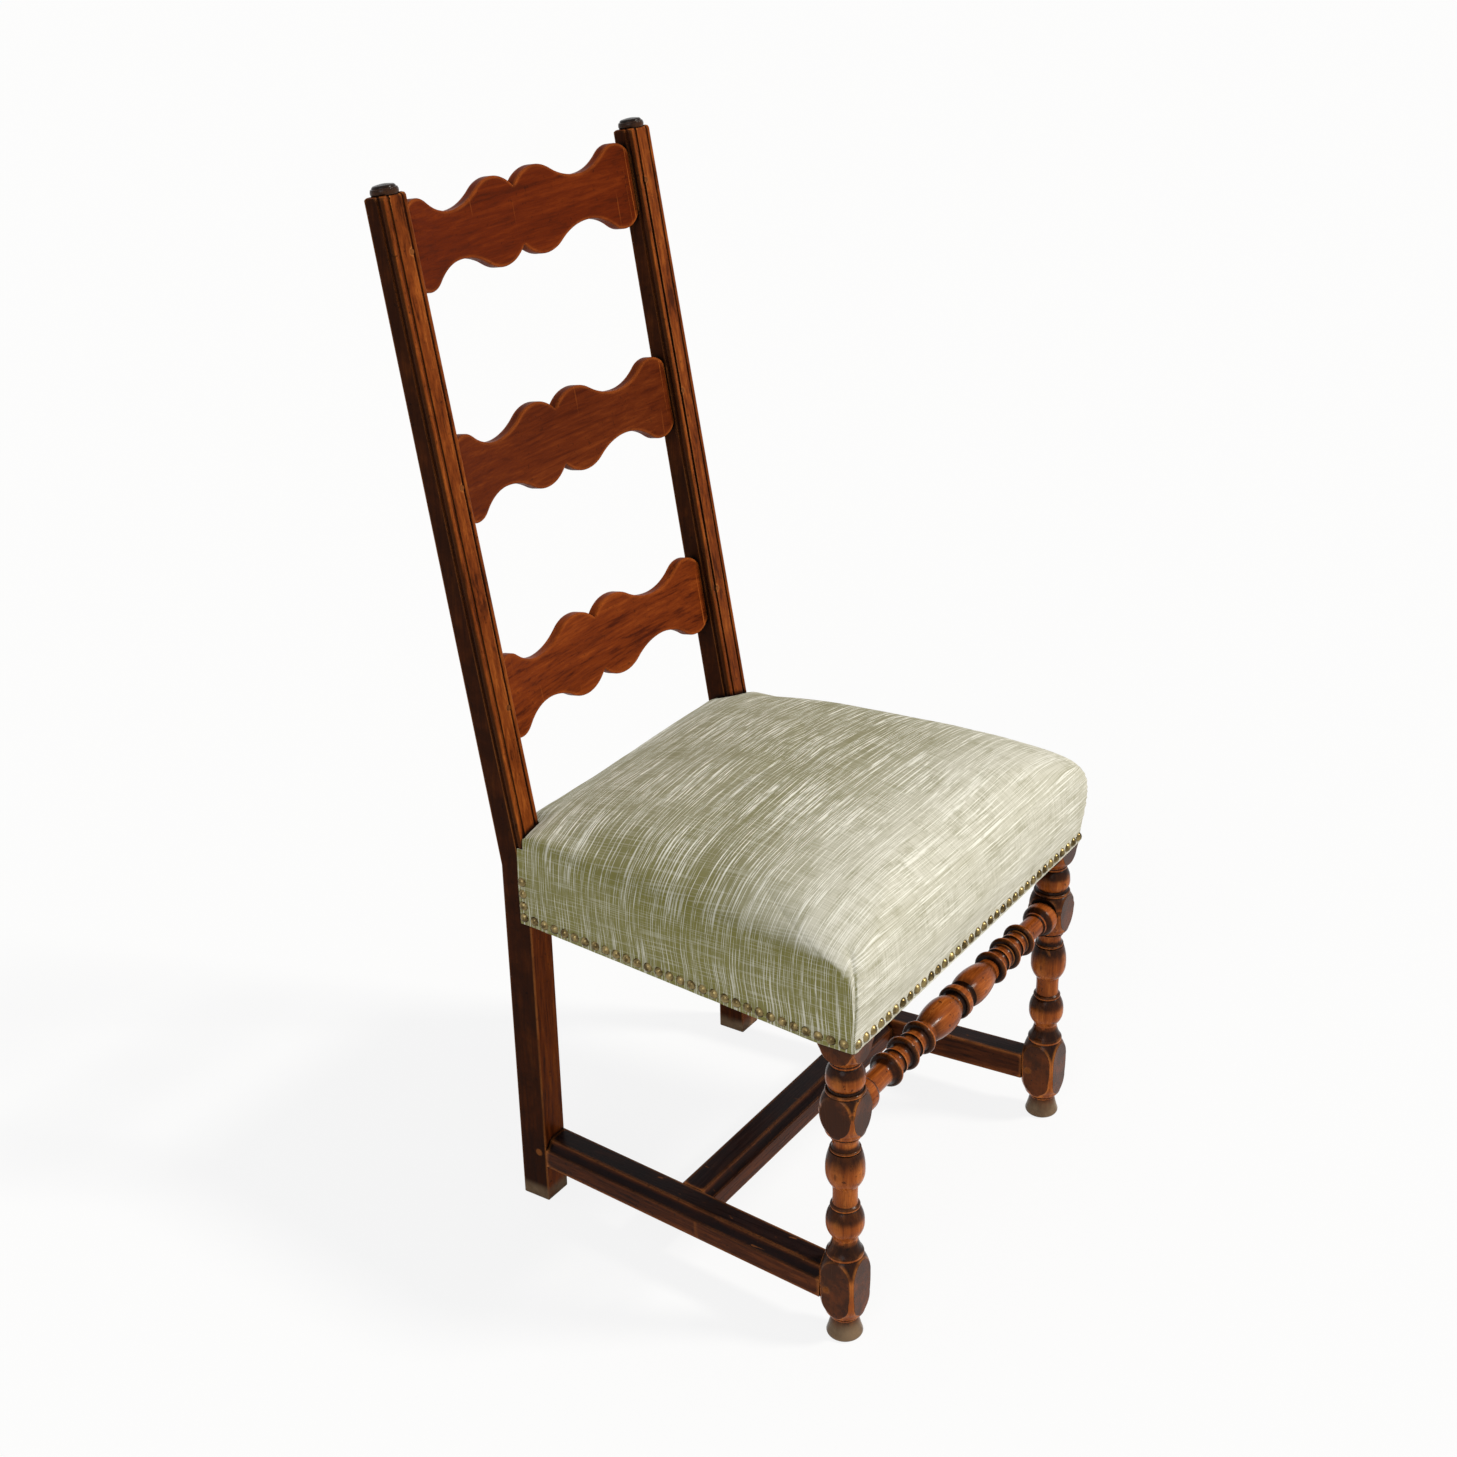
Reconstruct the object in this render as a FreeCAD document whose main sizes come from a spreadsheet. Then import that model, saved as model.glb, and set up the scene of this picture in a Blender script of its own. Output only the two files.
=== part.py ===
import FreeCAD, Part
import os
import re
import Sketcher
from FreeCAD import Placement, Rotation, Vector

# Driving dimensions of the chair, in millimetres
SIZES = {
    # Plan of the frame, between the axes of the legs and posts
    "leg_spacing": 440,
    "post_spacing": 384,
    "frame_depth": 391,
    # Rear posts, with the knee measured from the rail's bottom and the bead along the front arrises
    "post_width": 33,
    "post_depth": 33,
    "post_top_depth": 24,
    "knee_height": 62,
    "post_height": 1057,
    "post_setback": 110.5,
    "post_top_ease": 3,
    "bead_radius": 3.2,
    "quirk_width": 2.4,
    "quirk_depth": 2,
    # Turned finials and the pins that hold them
    "finial_height": 9.8,
    "finial_radius": 13.6,
    "finial_pin_radius": 5,
    "finial_pin_length": 18,
    # Slats, the lowest one at its rise over the crown of the seat
    "slat_height": 87,
    "slat_thickness": 12,
    "slat_bow": 13,
    "slat_face": 3.5,
    "slat_seat_rise": 80,
    "slat_top_drop": 53,
    "slat_dip": 20,
    "slat_cusp": 15,
    "slat_end_drop": 12,
    "slat_tenon_length": 15,
    "slat_tenon_height": 56,
    "slat_tenon_thickness": 8,
    # Turned front legs, element by element from the floor up
    "block_side": 39,
    "block_turn_radius": 25.2,
    "foot_height": 21,
    "foot_radius": 18.2,
    "foot_ring_height": 3.5,
    "low_block_height": 71.5,
    "low_ring_height": 5.5,
    "reel_height": 18,
    "ball_height": 31.5,
    "collar_height": 6,
    "neck_height": 20,
    "vase_height": 40.5,
    "cup_height": 14.5,
    "cup_ring_height": 3.5,
    "mid_block_height": 48,
    "bead_ring_height": 6,
    "knop_height": 23.5,
    "fillet_height": 6.5,
    "top_block_height": 90.5,
    "neck_radius": 12.3,
    "ring_radius": 18.9,
    "ball_radius": 19,
    "vase_radius": 19.3,
    "knop_radius": 19,
    # Turned front stretcher, from its middle outwards
    "spindle_radius": 11.3,
    "spindle_ring_radius": 18.1,
    "spindle_cove_radius": 12,
    "spindle_tenon_radius": 8,
    "spindle_tenon_length": 18,
    "middle_ring_half": 5.5,
    "middle_cove_length": 9,
    "bulb_length": 58,
    "outer_ring_length": 9,
    "double_cove_length": 23.5,
    "flare_length": 10,
    "dome_length": 23,
    # Low side stretchers and cross stretcher
    "bar_rise": 19.5,
    "bar_width": 33,
    "bar_height": 31,
    "cross_width": 42,
    "cross_setback": 3.5,
    "cove_width": 8.2,
    "cove_height": 10,
    "bar_tenon_length": 20,
    "bar_tenon_height": 20,
    "cross_tenon_length": 14,
    "cross_tenon_width": 24,
    # Seat rails
    "rail_height": 70,
    "rail_thickness": 24,
    "rear_rail_inset": 4,
    "rail_tenon_length": 20,
    "rear_tenon_length": 14,
    "tenon_thickness": 9,
    "tenon_shoulder": 10,
    # Pegs
    "peg_radius": 2.8,
    "slat_peg_inset": 10,
    "slat_peg_length": 21,
    "bar_peg_inset": 9.5,
    # Webbing and hessian
    "web_width": 50,
    "web_thickness": 2,
    "web_bearing": 14,
    "hessian_thickness": 1,
    "hessian_inset": 4,
    # Stuffing and cover, with the crown measured from the hessian
    "crown_height": 69,
    "cover_thickness": 1.5,
    "cover_hem": 1,
    "cover_band": 15,
    "cover_corner": 2.6,
    "crown_corner": 30,
    "seat_flare": 8,
    "seat_inset": 175,
    "post_wrap": 11,
    # Domed nails
    "nail_radius": 5.2,
    "nail_dome": 3.6,
    "nail_rise": 8,
    "nail_pitch": 13.6,
    "nail_front_margin": 5.5,
    "nail_side_margin": 9.2,
    "nail_rear_margin": 8,
    "nail_shank_radius": 0.9,
    "nail_shank_length": 8,
    "post_nail_inset": 6,
    # Clearances, and the overrun of every cut
    "joint_gap": 0.15,
    "soft_gap": 0.3,
    "overrun": 5,
}

# Slats from the top down
SLATS = ("top_slat", "middle_slat", "bottom_slat")

# Slat outline: places along the half span, and how each wave is divided between its two arcs
SLAT_LOBE_SHARE = 0.19
SLAT_DIP_SHARE = 0.573
SLAT_PEAK_SHARE = 0.883
LOBE_ARC_SHARE = 0.37
PEAK_ARC_SHARE = 0.3

# Heights and places worked out from the driving dimensions
PLACES = {
    "low_block_base": "foot_height + foot_ring_height",
    "low_block_top": "low_block_base + low_block_height",
    "reel_base": "low_block_top + low_ring_height",
    "ball_base": "reel_base + reel_height",
    "collar_base": "ball_base + ball_height",
    "neck_base": "collar_base + collar_height",
    "vase_base": "neck_base + neck_height",
    "cup_base": "vase_base + vase_height",
    "cup_ring_base": "cup_base + cup_height",
    "mid_block_base": "cup_ring_base + cup_ring_height",
    "mid_block_top": "mid_block_base + mid_block_height",
    "knop_base": "mid_block_top + bead_ring_height",
    "fillet_base": "knop_base + knop_height",
    "top_block_base": "fillet_base + fillet_height",
    "rail_top": "top_block_base + top_block_height",
    "rail_bottom": "rail_top - rail_height",
    "block_half": "block_side / 2",
    "spindle_height": "mid_block_base + mid_block_height * 0.54",
    "bar_bottom": "low_block_base + bar_rise",
    "bar_top": "bar_bottom + bar_height",
    "bar_middle": "bar_bottom + bar_height / 2",
    "leg_x": "leg_spacing / 2",
    "post_x": "post_spacing / 2",
    "knee_line": "rail_bottom + knee_height",
    "lean_rise": "post_height - knee_line",
    "lean_length": "sqrt(post_setback ^ 2 + lean_rise ^ 2)",
    "lean_sin": "post_setback / lean_length",
    "lean_cos": "lean_rise / lean_length",
    "front_reach": "block_half + soft_gap + cover_thickness + seat_flare",
    "slat_back": f"slat_thickness - slat_face + slat_bow * {1 - SLAT_LOBE_SHARE ** 2}",
    "slat_rise": "lean_rise - slat_top_drop",
    "rear_reach": "post_setback * slat_rise / lean_rise + slat_back * lean_cos + slat_height / 2 * lean_sin",
    "leg_y": "(front_reach - frame_depth - rear_reach) / 2",
    "post_y": "leg_y + frame_depth",
    "leg_back": "leg_y + block_half",
    "post_front": "post_y - post_depth / 2",
    "rear_rail_back": "post_y + post_depth / 2 - rear_rail_inset",
    "slat_half": "post_x - post_width / 2",
    "frame_front": "leg_y - block_half",
    "frame_half_front": "leg_x + block_half",
    "frame_half_rear": "post_x + post_width / 2",
    "hessian_base": "rail_top + 2 * web_thickness",
    "hessian_top": "hessian_base + hessian_thickness",
    "crown_top": "hessian_top + crown_height",
    "slat_pitch": f"(post_height - slat_top_drop - crown_top - slat_seat_rise) / {len(SLATS) - 1}",
    "cover_bottom": "rail_bottom + cover_hem",
    "band_top": "cover_bottom + cover_band",
    "nail_line": "cover_bottom + nail_rise",
    "cover_outset": "soft_gap + cover_thickness",
    "bar_run": "post_front - leg_back",
    "cross_y": "(leg_y + post_y) / 2 + cross_setback",
}

# Seat form above the nail band: share of the height, of the flare, of the inset and of the crown's corner
CROWN_SHARES = [
    (0.0, 0.0, 0.0, 0.0),
    (0.13, 0.19, 0.0, 0.05),
    (0.27, 0.45, 0.0, 0.12),
    (0.39, 0.78, 0.0, 0.25),
    (0.51, 1.0, 0.0, 0.4),
    (0.58, 1.0, 0.0, 0.46),
    (0.64, 0.86, 0.0, 0.52),
    (0.69, 0.58, 0.0, 0.56),
    (0.73, 0.1, 0.0, 0.6),
    (0.755, 0.0, 0.026, 0.7),
    (0.785, 0.0, 0.07, 0.9),
    (0.81, 0.0, 0.137, 1.25),
    (0.84, 0.0, 0.22, 1.8),
    (0.867, 0.0, 0.33, 2.3),
    (0.9, 0.0, 0.45, 2.7),
    (0.957, 0.0, 0.72, 2.3),
    (1.0, 0.0, 1.0, 1.05),
]
STUFFING_FIRST_ROW = 2

# Places of the webbing straps: shares of the rail's clear half width and of the clear depth
LENGTHWISE_SHARES = [-0.72, -0.24, 0.24, 0.72]
CROSSWISE_SHARES = [0.14, 0.38, 0.62, 0.86]

OUTER_RINGS = 3
POST_NAILS = 3
SIDES = {"left": -1, "right": 1}
LEAN_AXIS = Vector(-1, 0, 0)
LEAN_ANGLE = "atan(post_setback / lean_rise)"

doc = FreeCAD.newDocument("chair")
sheet = doc.addObject("Spreadsheet::Sheet", "Sizes")
for row, (alias, value) in enumerate(SIZES.items(), start=1):
    sheet.set(f"A{row}", alias)
    sheet.set(f"B{row}", str(value))
    sheet.setAlias(f"B{row}", alias)
doc.recompute()

nodes = []


def formula(text):
    """Write a formula of sizes and places in the names of the sheet's cells."""

    def swap(match):
        word = match.group(0)
        if word in PLACES:
            return f"({formula(PLACES[word])})"
        if word in SIZES:
            return f"Sizes.{word}"
        return word

    return re.sub(r"[a-z_]+", swap, str(text))


def num(text):
    """Value of a formula."""
    return float(sheet.evalExpression(formula(text)))


def bind(target, name, text):
    """Tie a property to a formula of the sheet."""
    target.setExpression(name, formula(text))


def new_body(name, place=("0", "0", "0")):
    """Start a body whose origin stands at a place of the frame."""
    body = doc.addObject("PartDesign::Body", name)
    for axis, text in zip("xyz", place):
        bind(body, f"Placement.Base.{axis}", text)
    return body


def origin_plane(body, role):
    """One of the body's own origin planes."""
    return next(item for item in body.Origin.OriginFeatures if item.Role == role)


def new_sketch(body, name, plane, offset="0"):
    """Start a sketch on an origin plane of the body, moved along the plane's normal."""
    sketch = body.newObject("Sketcher::SketchObject", name)
    sketch.AttachmentSupport = [(origin_plane(body, plane), "")]
    sketch.MapMode = "FlatFace"
    bind(sketch, "AttachmentOffset.Base.z", offset)
    return sketch


def pin_point(geometry, end, x, y):
    """Rules that hold one end of a sketch edge at a place, each with its formula."""
    return [
        (Sketcher.Constraint(kind, -1, 1, geometry, end, num(text)), text)
        for kind, text in (("DistanceX", x), ("DistanceY", y))
    ]


def add_rules(sketch, rules):
    """Add rules to a sketch and tie each one that has a formula to it."""
    first = sketch.ConstraintCount
    sketch.addConstraint([rule for rule, _ in rules])
    for index, (_, text) in enumerate(rules, start=first):
        if text:
            bind(sketch, f"Constraints[{index}]", text)


def arc_radius(start, end, rise):
    """Formula of the radius of an arc that stands a rise out of its chord."""
    chord = f"((({end[0]}) - ({start[0]})) ^ 2 + (({end[1]}) - ({start[1]})) ^ 2)"
    return f"{chord} / (8 * abs({rise})) + abs({rise}) / 2"


def swell(run, drop):
    """Rise of the arc that leaves a level crest and falls by a drop over a run."""
    radius = f"((({run}) ^ 2 + ({drop}) ^ 2) / (2 * ({drop})))"
    return f"({radius} - sqrt({radius} ^ 2 - (({run}) ^ 2 + ({drop}) ^ 2) / 4))"


def draw_arc(start, end, rise):
    """Arc from start to end whose crest lies to the right of the way for a positive rise."""
    first = Vector(num(start[0]), num(start[1]), 0)
    last = Vector(num(end[0]), num(end[1]), 0)
    height = num(rise)
    chord = last - first
    crest = Vector(chord.y, -chord.x, 0).normalize() * height
    return Part.Arc(first, (first + last) * 0.5 + crest, last)


def draw_outline(sketch, points):
    """Add a closed outline: each point is (x, y), or (x, y, rise) where an arc leads to the next one."""
    ends = []
    for here, there in zip(points, points[1:] + points[:1]):
        if len(here) == 3:
            index = sketch.addGeometry(draw_arc(here, there, here[2]), False)
            turns_left = num(here[2]) > 0
            ends.append((index, 1, 2) if turns_left else (index, 2, 1))
        else:
            first = Vector(num(here[0]), num(here[1]), 0)
            last = Vector(num(there[0]), num(there[1]), 0)
            index = sketch.addGeometry(Part.LineSegment(first, last), False)
            ends.append((index, 1, 2))
    rules = []
    for before, after in zip(ends[-1:] + ends[:-1], ends):
        rules.append((Sketcher.Constraint("Coincident", before[0], before[2], after[0], after[1]), ""))
    for here, there, (index, start, _) in zip(points, points[1:] + points[:1], ends):
        rules += pin_point(index, start, here[0], here[1])
        if len(here) == 3:
            radius = arc_radius(here, there, here[2])
            rules.append((Sketcher.Constraint("Radius", index, num(radius)), radius))
    add_rules(sketch, rules)


def outline(body, name, plane, points, offset="0"):
    """Sketch one closed outline on a plane of the body."""
    sketch = new_sketch(body, name, plane, offset)
    draw_outline(sketch, points)
    return sketch


def rectangle(x, y, width, height):
    """Corners of a rectangle about its middle."""
    left, right = f"{x} - ({width}) / 2", f"{x} + ({width}) / 2"
    low, high = f"{y} - ({height}) / 2", f"{y} + ({height}) / 2"
    return [(left, low), (right, low), (right, high), (left, high)]


def circle(body, name, plane, x, y, radius, offset="0"):
    """Sketch one circle on a plane of the body."""
    sketch = new_sketch(body, name, plane, offset)
    centre = Vector(num(x), num(y), 0)
    index = sketch.addGeometry(Part.Circle(centre, Vector(0, 0, 1), num(radius)), False)
    size = (Sketcher.Constraint("Radius", index, num(radius)), radius)
    add_rules(sketch, [size] + pin_point(index, 3, x, y))
    return sketch


def extrude(body, kind, sketch, length, back=False):
    """Pad or pocket a sketch by a length."""
    feature = body.newObject(f"PartDesign::{kind}", f"{sketch.Name}_{kind.lower()}")
    feature.Profile = sketch
    bind(feature, "Length", length)
    feature.Reversed = back
    return feature


def pocket_through(body, sketch):
    """Cut a sketch right through the body."""
    feature = body.newObject("PartDesign::Pocket", f"{sketch.Name}_pocket")
    feature.Profile = sketch
    feature.Type = "ThroughAll"
    return feature


def turn(body, kind, sketch, axis):
    """Add or cut the full turn of a sketch about one of its axes."""
    feature = body.newObject(f"PartDesign::{kind}", f"{sketch.Name}_{kind.lower()}")
    feature.Profile = sketch
    feature.ReferenceAxis = (sketch, [axis])
    feature.Angle = 360
    return feature


def loft(body, kind, sections, ruled):
    """Add or cut a loft through sections."""
    feature = body.newObject(f"PartDesign::{kind}Loft", f"{sections[0].Name}_loft")
    feature.Profile = sections[0]
    feature.Sections = sections[1:]
    feature.Ruled = ruled
    return feature


def cylinder(name, radius, length, place, axis, angle):
    """Cylinder from a place of the frame, with its length turned about an axis."""
    piece = doc.addObject("Part::Cylinder", name)
    bind(piece, "Radius", radius)
    bind(piece, "Height", length)
    piece.Placement = Placement(Vector(), Rotation(axis, 1))
    bind(piece, "Placement.Rotation.Angle", angle)
    for letter, text in zip("xyz", place):
        bind(piece, f"Placement.Base.{letter}", text)
    return piece


def compound(name, pieces):
    """Group of separate solids."""
    group = doc.addObject("Part::Compound", name)
    group.Links = pieces
    return group


def cut(name, base, tools):
    """Cut a group of tools out of a piece."""
    result = doc.addObject("Part::Cut", name)
    result.Base = base
    result.Tool = compound(f"{name}_tools", tools)
    return result


def finish(piece, label):
    """Name a finished sub-part and keep it for the check and the files."""
    piece.Label = label
    nodes.append(piece)


# Slats

def slat_height_at(step):
    """Height of a slat's middle on the post axis, counted down from the top one."""
    return f"(post_height - slat_top_drop - slat_pitch * {step})"


def lean_share(height):
    """Share of the leaning part of the post below a height."""
    return f"((({height}) - knee_line) / lean_rise)"


def axis_setback(height):
    """How far back the post axis stands at a height."""
    return f"(post_setback * {lean_share(height)})"


def slat_edge():
    """Upper edge of a slat from its left end to its right end."""
    top = "slat_height / 2"
    lobe, dip, peak = (f"slat_half * {share}" for share in (SLAT_LOBE_SHARE, SLAT_DIP_SHARE, SLAT_PEAK_SHARE))
    outer_run, inner_run = f"({peak} - {dip})", f"({dip} - {lobe})"
    peak_run, peak_drop = f"({outer_run} * {PEAK_ARC_SHARE})", f"(slat_dip * {PEAK_ARC_SHARE})"
    lobe_run, lobe_drop = f"({inner_run} * {LOBE_ARC_SHARE})", f"(slat_dip * {LOBE_ARC_SHARE})"
    end_swell = swell(f"slat_half - {peak}", "slat_end_drop")
    peak_swell = swell(peak_run, peak_drop)
    dip_outer = swell(f"{outer_run} - {peak_run}", f"slat_dip - {peak_drop}")
    dip_inner = swell(f"{inner_run} - {lobe_run}", f"slat_dip - {lobe_drop}")
    lobe_swell = swell(lobe_run, lobe_drop)
    cusp_swell = swell(lobe, "slat_cusp")
    left = [
        ("-(slat_half)", f"{top} - slat_end_drop", f"-{end_swell}"),
        (f"-({peak})", top, f"-{peak_swell}"),
        (f"-({peak} - {peak_run})", f"{top} - {peak_drop}", dip_outer),
        (f"-({dip})", f"{top} - slat_dip", dip_inner),
        (f"-({lobe} + {lobe_run})", f"{top} - {lobe_drop}", f"-{lobe_swell}"),
        (f"-({lobe})", top, f"-{cusp_swell}"),
        ("0", f"{top} - slat_cusp", f"-{cusp_swell}"),
        (lobe, top, f"-{lobe_swell}"),
        (f"{lobe} + {lobe_run}", f"{top} - {lobe_drop}", dip_inner),
        (dip, f"{top} - slat_dip", dip_outer),
        (f"{peak} - {peak_run}", f"{top} - {peak_drop}", f"-{peak_swell}"),
        (peak, top, f"-{end_swell}"),
        ("slat_half", f"{top} - slat_end_drop"),
    ]
    return left


def build_slat(label, step, bores):
    """Bowed slat, sawn to its scalloped outline, with a tenon at each end."""
    height = slat_height_at(step)
    body = new_body(f"{label}_board", ("0", f"post_y + {axis_setback(height)}", height))
    body.Placement.Rotation = Rotation(LEAN_AXIS, 1)
    bind(body, "Placement.Rotation.Angle", LEAN_ANGLE)
    plan = [
        ("-(slat_half)", "-slat_face", "-slat_bow"),
        ("slat_half", "-slat_face"),
        ("slat_half", "slat_thickness - slat_face", "slat_bow"),
        ("-(slat_half)", "slat_thickness - slat_face"),
    ]
    extrude(body, "Pad", outline(body, f"{label}_plan", "XY_Plane", plan, "-slat_height / 2"), "slat_height")
    sketch = new_sketch(body, f"{label}_waste", "XZ_Plane", "slat_face + overrun")
    edge = slat_edge()
    over = [
        ("slat_half + overrun", "slat_height / 2 - slat_end_drop"),
        ("slat_half + overrun", "slat_height / 2 + overrun"),
        ("-(slat_half + overrun)", "slat_height / 2 + overrun"),
        ("-(slat_half + overrun)", "slat_height / 2 - slat_end_drop"),
    ]
    upper = edge + over
    lower = [(f"-({point[0]})", f"-({point[1]})") + tuple(point[2:]) for point in upper]
    draw_outline(sketch, upper)
    draw_outline(sketch, lower)
    pocket_through(body, sketch)
    middle = "slat_thickness / 2 - slat_face"
    tongue = rectangle(middle, "0", "slat_tenon_thickness", "slat_tenon_height")
    for side, sign in SIDES.items():
        start = f"{sign} * (slat_half - quirk_depth)"
        root = outline(body, f"{label}_tenon_{side}", "YZ_Plane", tongue, start)
        extrude(body, "Pad", root, "slat_tenon_length + quirk_depth", back=sign < 0)
    finish(cut(f"{label}_bored", body, bores), label)


# Pegs

def slat_peg(name, sign, step, radius, length):
    """Peg through a post front and a slat tenon, square to the leaning front face."""
    height = slat_height_at(step)
    half_depth = f"((post_depth - (post_depth - post_top_depth) * {lean_share(height)}) / 2)"
    place = (
        f"{sign} * (slat_half + slat_peg_inset)",
        f"post_y + {axis_setback(height)} - {half_depth} * lean_cos",
        f"{height} + {half_depth} * lean_sin",
    )
    return cylinder(name, radius, length, place, LEAN_AXIS, f"90 deg + {LEAN_ANGLE}")


def bar_peg(name, middle, width, y, radius):
    """Peg across a leg or post and the tenon of a side stretcher."""
    place = (f"{middle} - {width} / 2", y, "bar_middle")
    return cylinder(name, radius, width, place, Vector(0, 1, 0), "90 deg")


def build_pegs():
    """All pegs, with the bores that take them."""
    slat_pegs, slat_bores, bar_pegs, bar_bores = [], [], [], []
    for side, sign in SIDES.items():
        for step in range(len(SLATS)):
            tag = f"{side}_{step}"
            slat_pegs.append(slat_peg(f"slat_peg_{tag}", sign, step, "peg_radius", "slat_peg_length"))
            slat_bores.append(slat_peg(f"slat_bore_{tag}", sign, step, "peg_radius + joint_gap",
                                       "slat_peg_length + joint_gap"))
        seats = [
            ("leg", f"{sign} * leg_x", "block_side", "leg_back - bar_peg_inset"),
            ("post", f"{sign} * post_x", "post_width", "post_front + bar_peg_inset"),
        ]
        for seat, middle, width, y in seats:
            bar_pegs.append(bar_peg(f"bar_peg_{seat}_{side}", middle, width, y, "peg_radius"))
            bar_bores.append(bar_peg(f"bar_bore_{seat}_{side}", middle, width, y, "peg_radius + joint_gap"))
    finish(compound("slat_pegs", slat_pegs), "slat_pegs")
    finish(compound("stretcher_pegs", bar_pegs), "stretcher_pegs")
    return slat_bores, bar_bores


# Rear posts and finials

def post_section(width, depth):
    """Section of the upper post: a square with a quirked bead on each front arris."""
    half, front = f"({width}) / 2", f"-({depth}) / 2"
    reach = "sqrt(bead_radius ^ 2 - (bead_radius - quirk_depth) ^ 2)"
    root = f"(bead_radius + {reach})"
    outer = f"({root} + quirk_width)"
    crest = "bead_radius * (1 - sqrt(2) / 2)"
    span = f"sqrt(({root} - {crest}) ^ 2 + (quirk_depth - {crest}) ^ 2)"
    rise = f"(bead_radius - sqrt(bead_radius ^ 2 - ({span}) ^ 2 / 4))"
    right = [
        (f"{half} - {outer}", front),
        (f"{half} - {outer}", f"{front} + quirk_depth"),
        (f"{half} - {root}", f"{front} + quirk_depth", rise),
        (f"{half} - {crest}", f"{front} + {crest}", rise),
        (f"{half} - quirk_depth", f"{front} + {root}"),
        (f"{half} - quirk_depth", f"{front} + {outer}"),
        (half, f"{front} + {outer}"),
        (half, f"({depth}) / 2"),
    ]
    left = [(f"-({x})", y) for x, y, *_ in reversed(right)]
    left[3] = left[3] + (rise,)
    left[4] = left[4] + (rise,)
    return right + left


def build_post(side, sign, tools):
    """Rear post: square below the seat, leaning back, thinned and beaded above it."""
    body = new_body(f"post_{side}", (f"{sign} * post_x", "post_y", "0"))
    foot = outline(body, f"post_foot_{side}", "XY_Plane", rectangle("0", "0", "post_width", "post_depth"))
    extrude(body, "Pad", foot, "knee_line")
    square = post_section("post_width", "post_depth")
    sections = [outline(body, f"post_knee_{side}", "XY_Plane", square, "knee_line")]
    for tag, drop, inset in (("shoulder", 1, 0), ("ease", 0.3, 0.25), ("top", 0, 0.8)):
        width = f"(post_width - 2 * {inset} * post_top_ease)"
        depth = f"(post_top_depth - 2 * {inset} * post_top_ease)"
        section = outline(body, f"post_{tag}_{side}", "XY_Plane", post_section(width, depth))
        section.AttachmentOffset = Placement(Vector(), Rotation(LEAN_AXIS, 1))
        bind(section, "AttachmentOffset.Rotation.Angle", LEAN_ANGLE)
        bind(section, "AttachmentOffset.Base.y", f"post_setback - {drop} * post_top_ease * lean_sin")
        bind(section, "AttachmentOffset.Base.z", f"post_height - {drop} * post_top_ease * lean_cos")
        sections.append(section)
    loft(body, "Additive", sections, ruled=True)
    doc.recompute()
    inner = f"{-sign} * post_width / 2"
    for step in range(len(SLATS)):
        height = slat_height_at(step)
        middle = "slat_thickness / 2 - slat_face"
        slot = [
            (f"{axis_setback(height)} + ({across}) * lean_cos + ({along}) * lean_sin",
             f"{height} - ({across}) * lean_sin + ({along}) * lean_cos")
            for across, along in rectangle(middle, "0", "slat_tenon_thickness + 2 * joint_gap",
                                           "slat_tenon_height + 2 * joint_gap")
        ]
        sketch = outline(body, f"slat_mortise_{side}_{step}", "YZ_Plane", slot, inner)
        extrude(body, "Pocket", sketch, "slat_tenon_length + joint_gap", back=sign > 0)
    rail = rectangle("rear_rail_back - rail_thickness / 2 - post_y", "rail_top - rail_height / 2",
                     "tenon_thickness + 2 * joint_gap", "rail_height - 2 * tenon_shoulder + 2 * joint_gap")
    sketch = outline(body, f"rear_mortise_{side}", "YZ_Plane", rail, inner)
    extrude(body, "Pocket", sketch, "rear_tenon_length + joint_gap", back=sign > 0)
    seats = [
        ("rail", f"{sign} * (post_width - rail_thickness) / 2", "rail_top - rail_height / 2",
         "rail_height - 2 * tenon_shoulder", "rail_tenon_length"),
        ("bar", "0", "bar_middle", "bar_tenon_height", "bar_tenon_length"),
    ]
    for tag, x, z, tall, deep in seats:
        slot = rectangle(x, z, "tenon_thickness + 2 * joint_gap", f"{tall} + 2 * joint_gap")
        sketch = outline(body, f"post_{tag}_mortise_{side}", "XZ_Plane", slot, "post_depth / 2")
        extrude(body, "Pocket", sketch, f"{deep} + joint_gap")
    finish(cut(f"rear_post_{side}", body, tools), f"rear_post_{side}")


def finial_place(sign):
    """Middle of a post top."""
    return (f"{sign} * post_x", "post_y + post_setback", "post_height")


def build_finial(side, sign):
    """Flat turned button with a pin into the post top."""
    body = new_body(f"finial_body_{side}", finial_place(sign))
    body.Placement.Rotation = Rotation(LEAN_AXIS, 1)
    bind(body, "Placement.Rotation.Angle", LEAN_ANGLE)
    dome = swell("finial_radius * 0.6", "finial_height * 0.1")
    profile = [
        ("0", "-finial_pin_length"),
        ("finial_pin_radius", "-finial_pin_length"),
        ("finial_pin_radius", "0"),
        ("finial_radius * 0.93", "0", "finial_height * 0.06"),
        ("finial_radius * 0.95", "finial_height * 0.5", "finial_height * 0.03"),
        ("finial_radius * 0.88", "finial_height * 0.62"),
        ("finial_radius * 0.84", "finial_height * 0.64", "finial_height * 0.08"),
        ("finial_radius * 0.6", "finial_height * 0.9", dome),
        ("0", "finial_height"),
    ]
    turn(body, "Revolution", outline(body, f"finial_profile_{side}", "XZ_Plane", profile), "V_Axis")
    finish(body, f"finial_{side}")


def finial_bore(side, sign):
    """Bore for a finial's pin, down the leaning post."""
    depth = "finial_pin_length + joint_gap"
    x, y, z = finial_place(sign)
    place = (x, f"{y} - ({depth}) * lean_sin", f"{z} - ({depth}) * lean_cos")
    return cylinder(f"finial_bore_{side}", "finial_pin_radius + joint_gap", f"{depth} + overrun", place,
                    LEAN_AXIS, LEAN_ANGLE)


# Turned front legs

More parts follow.
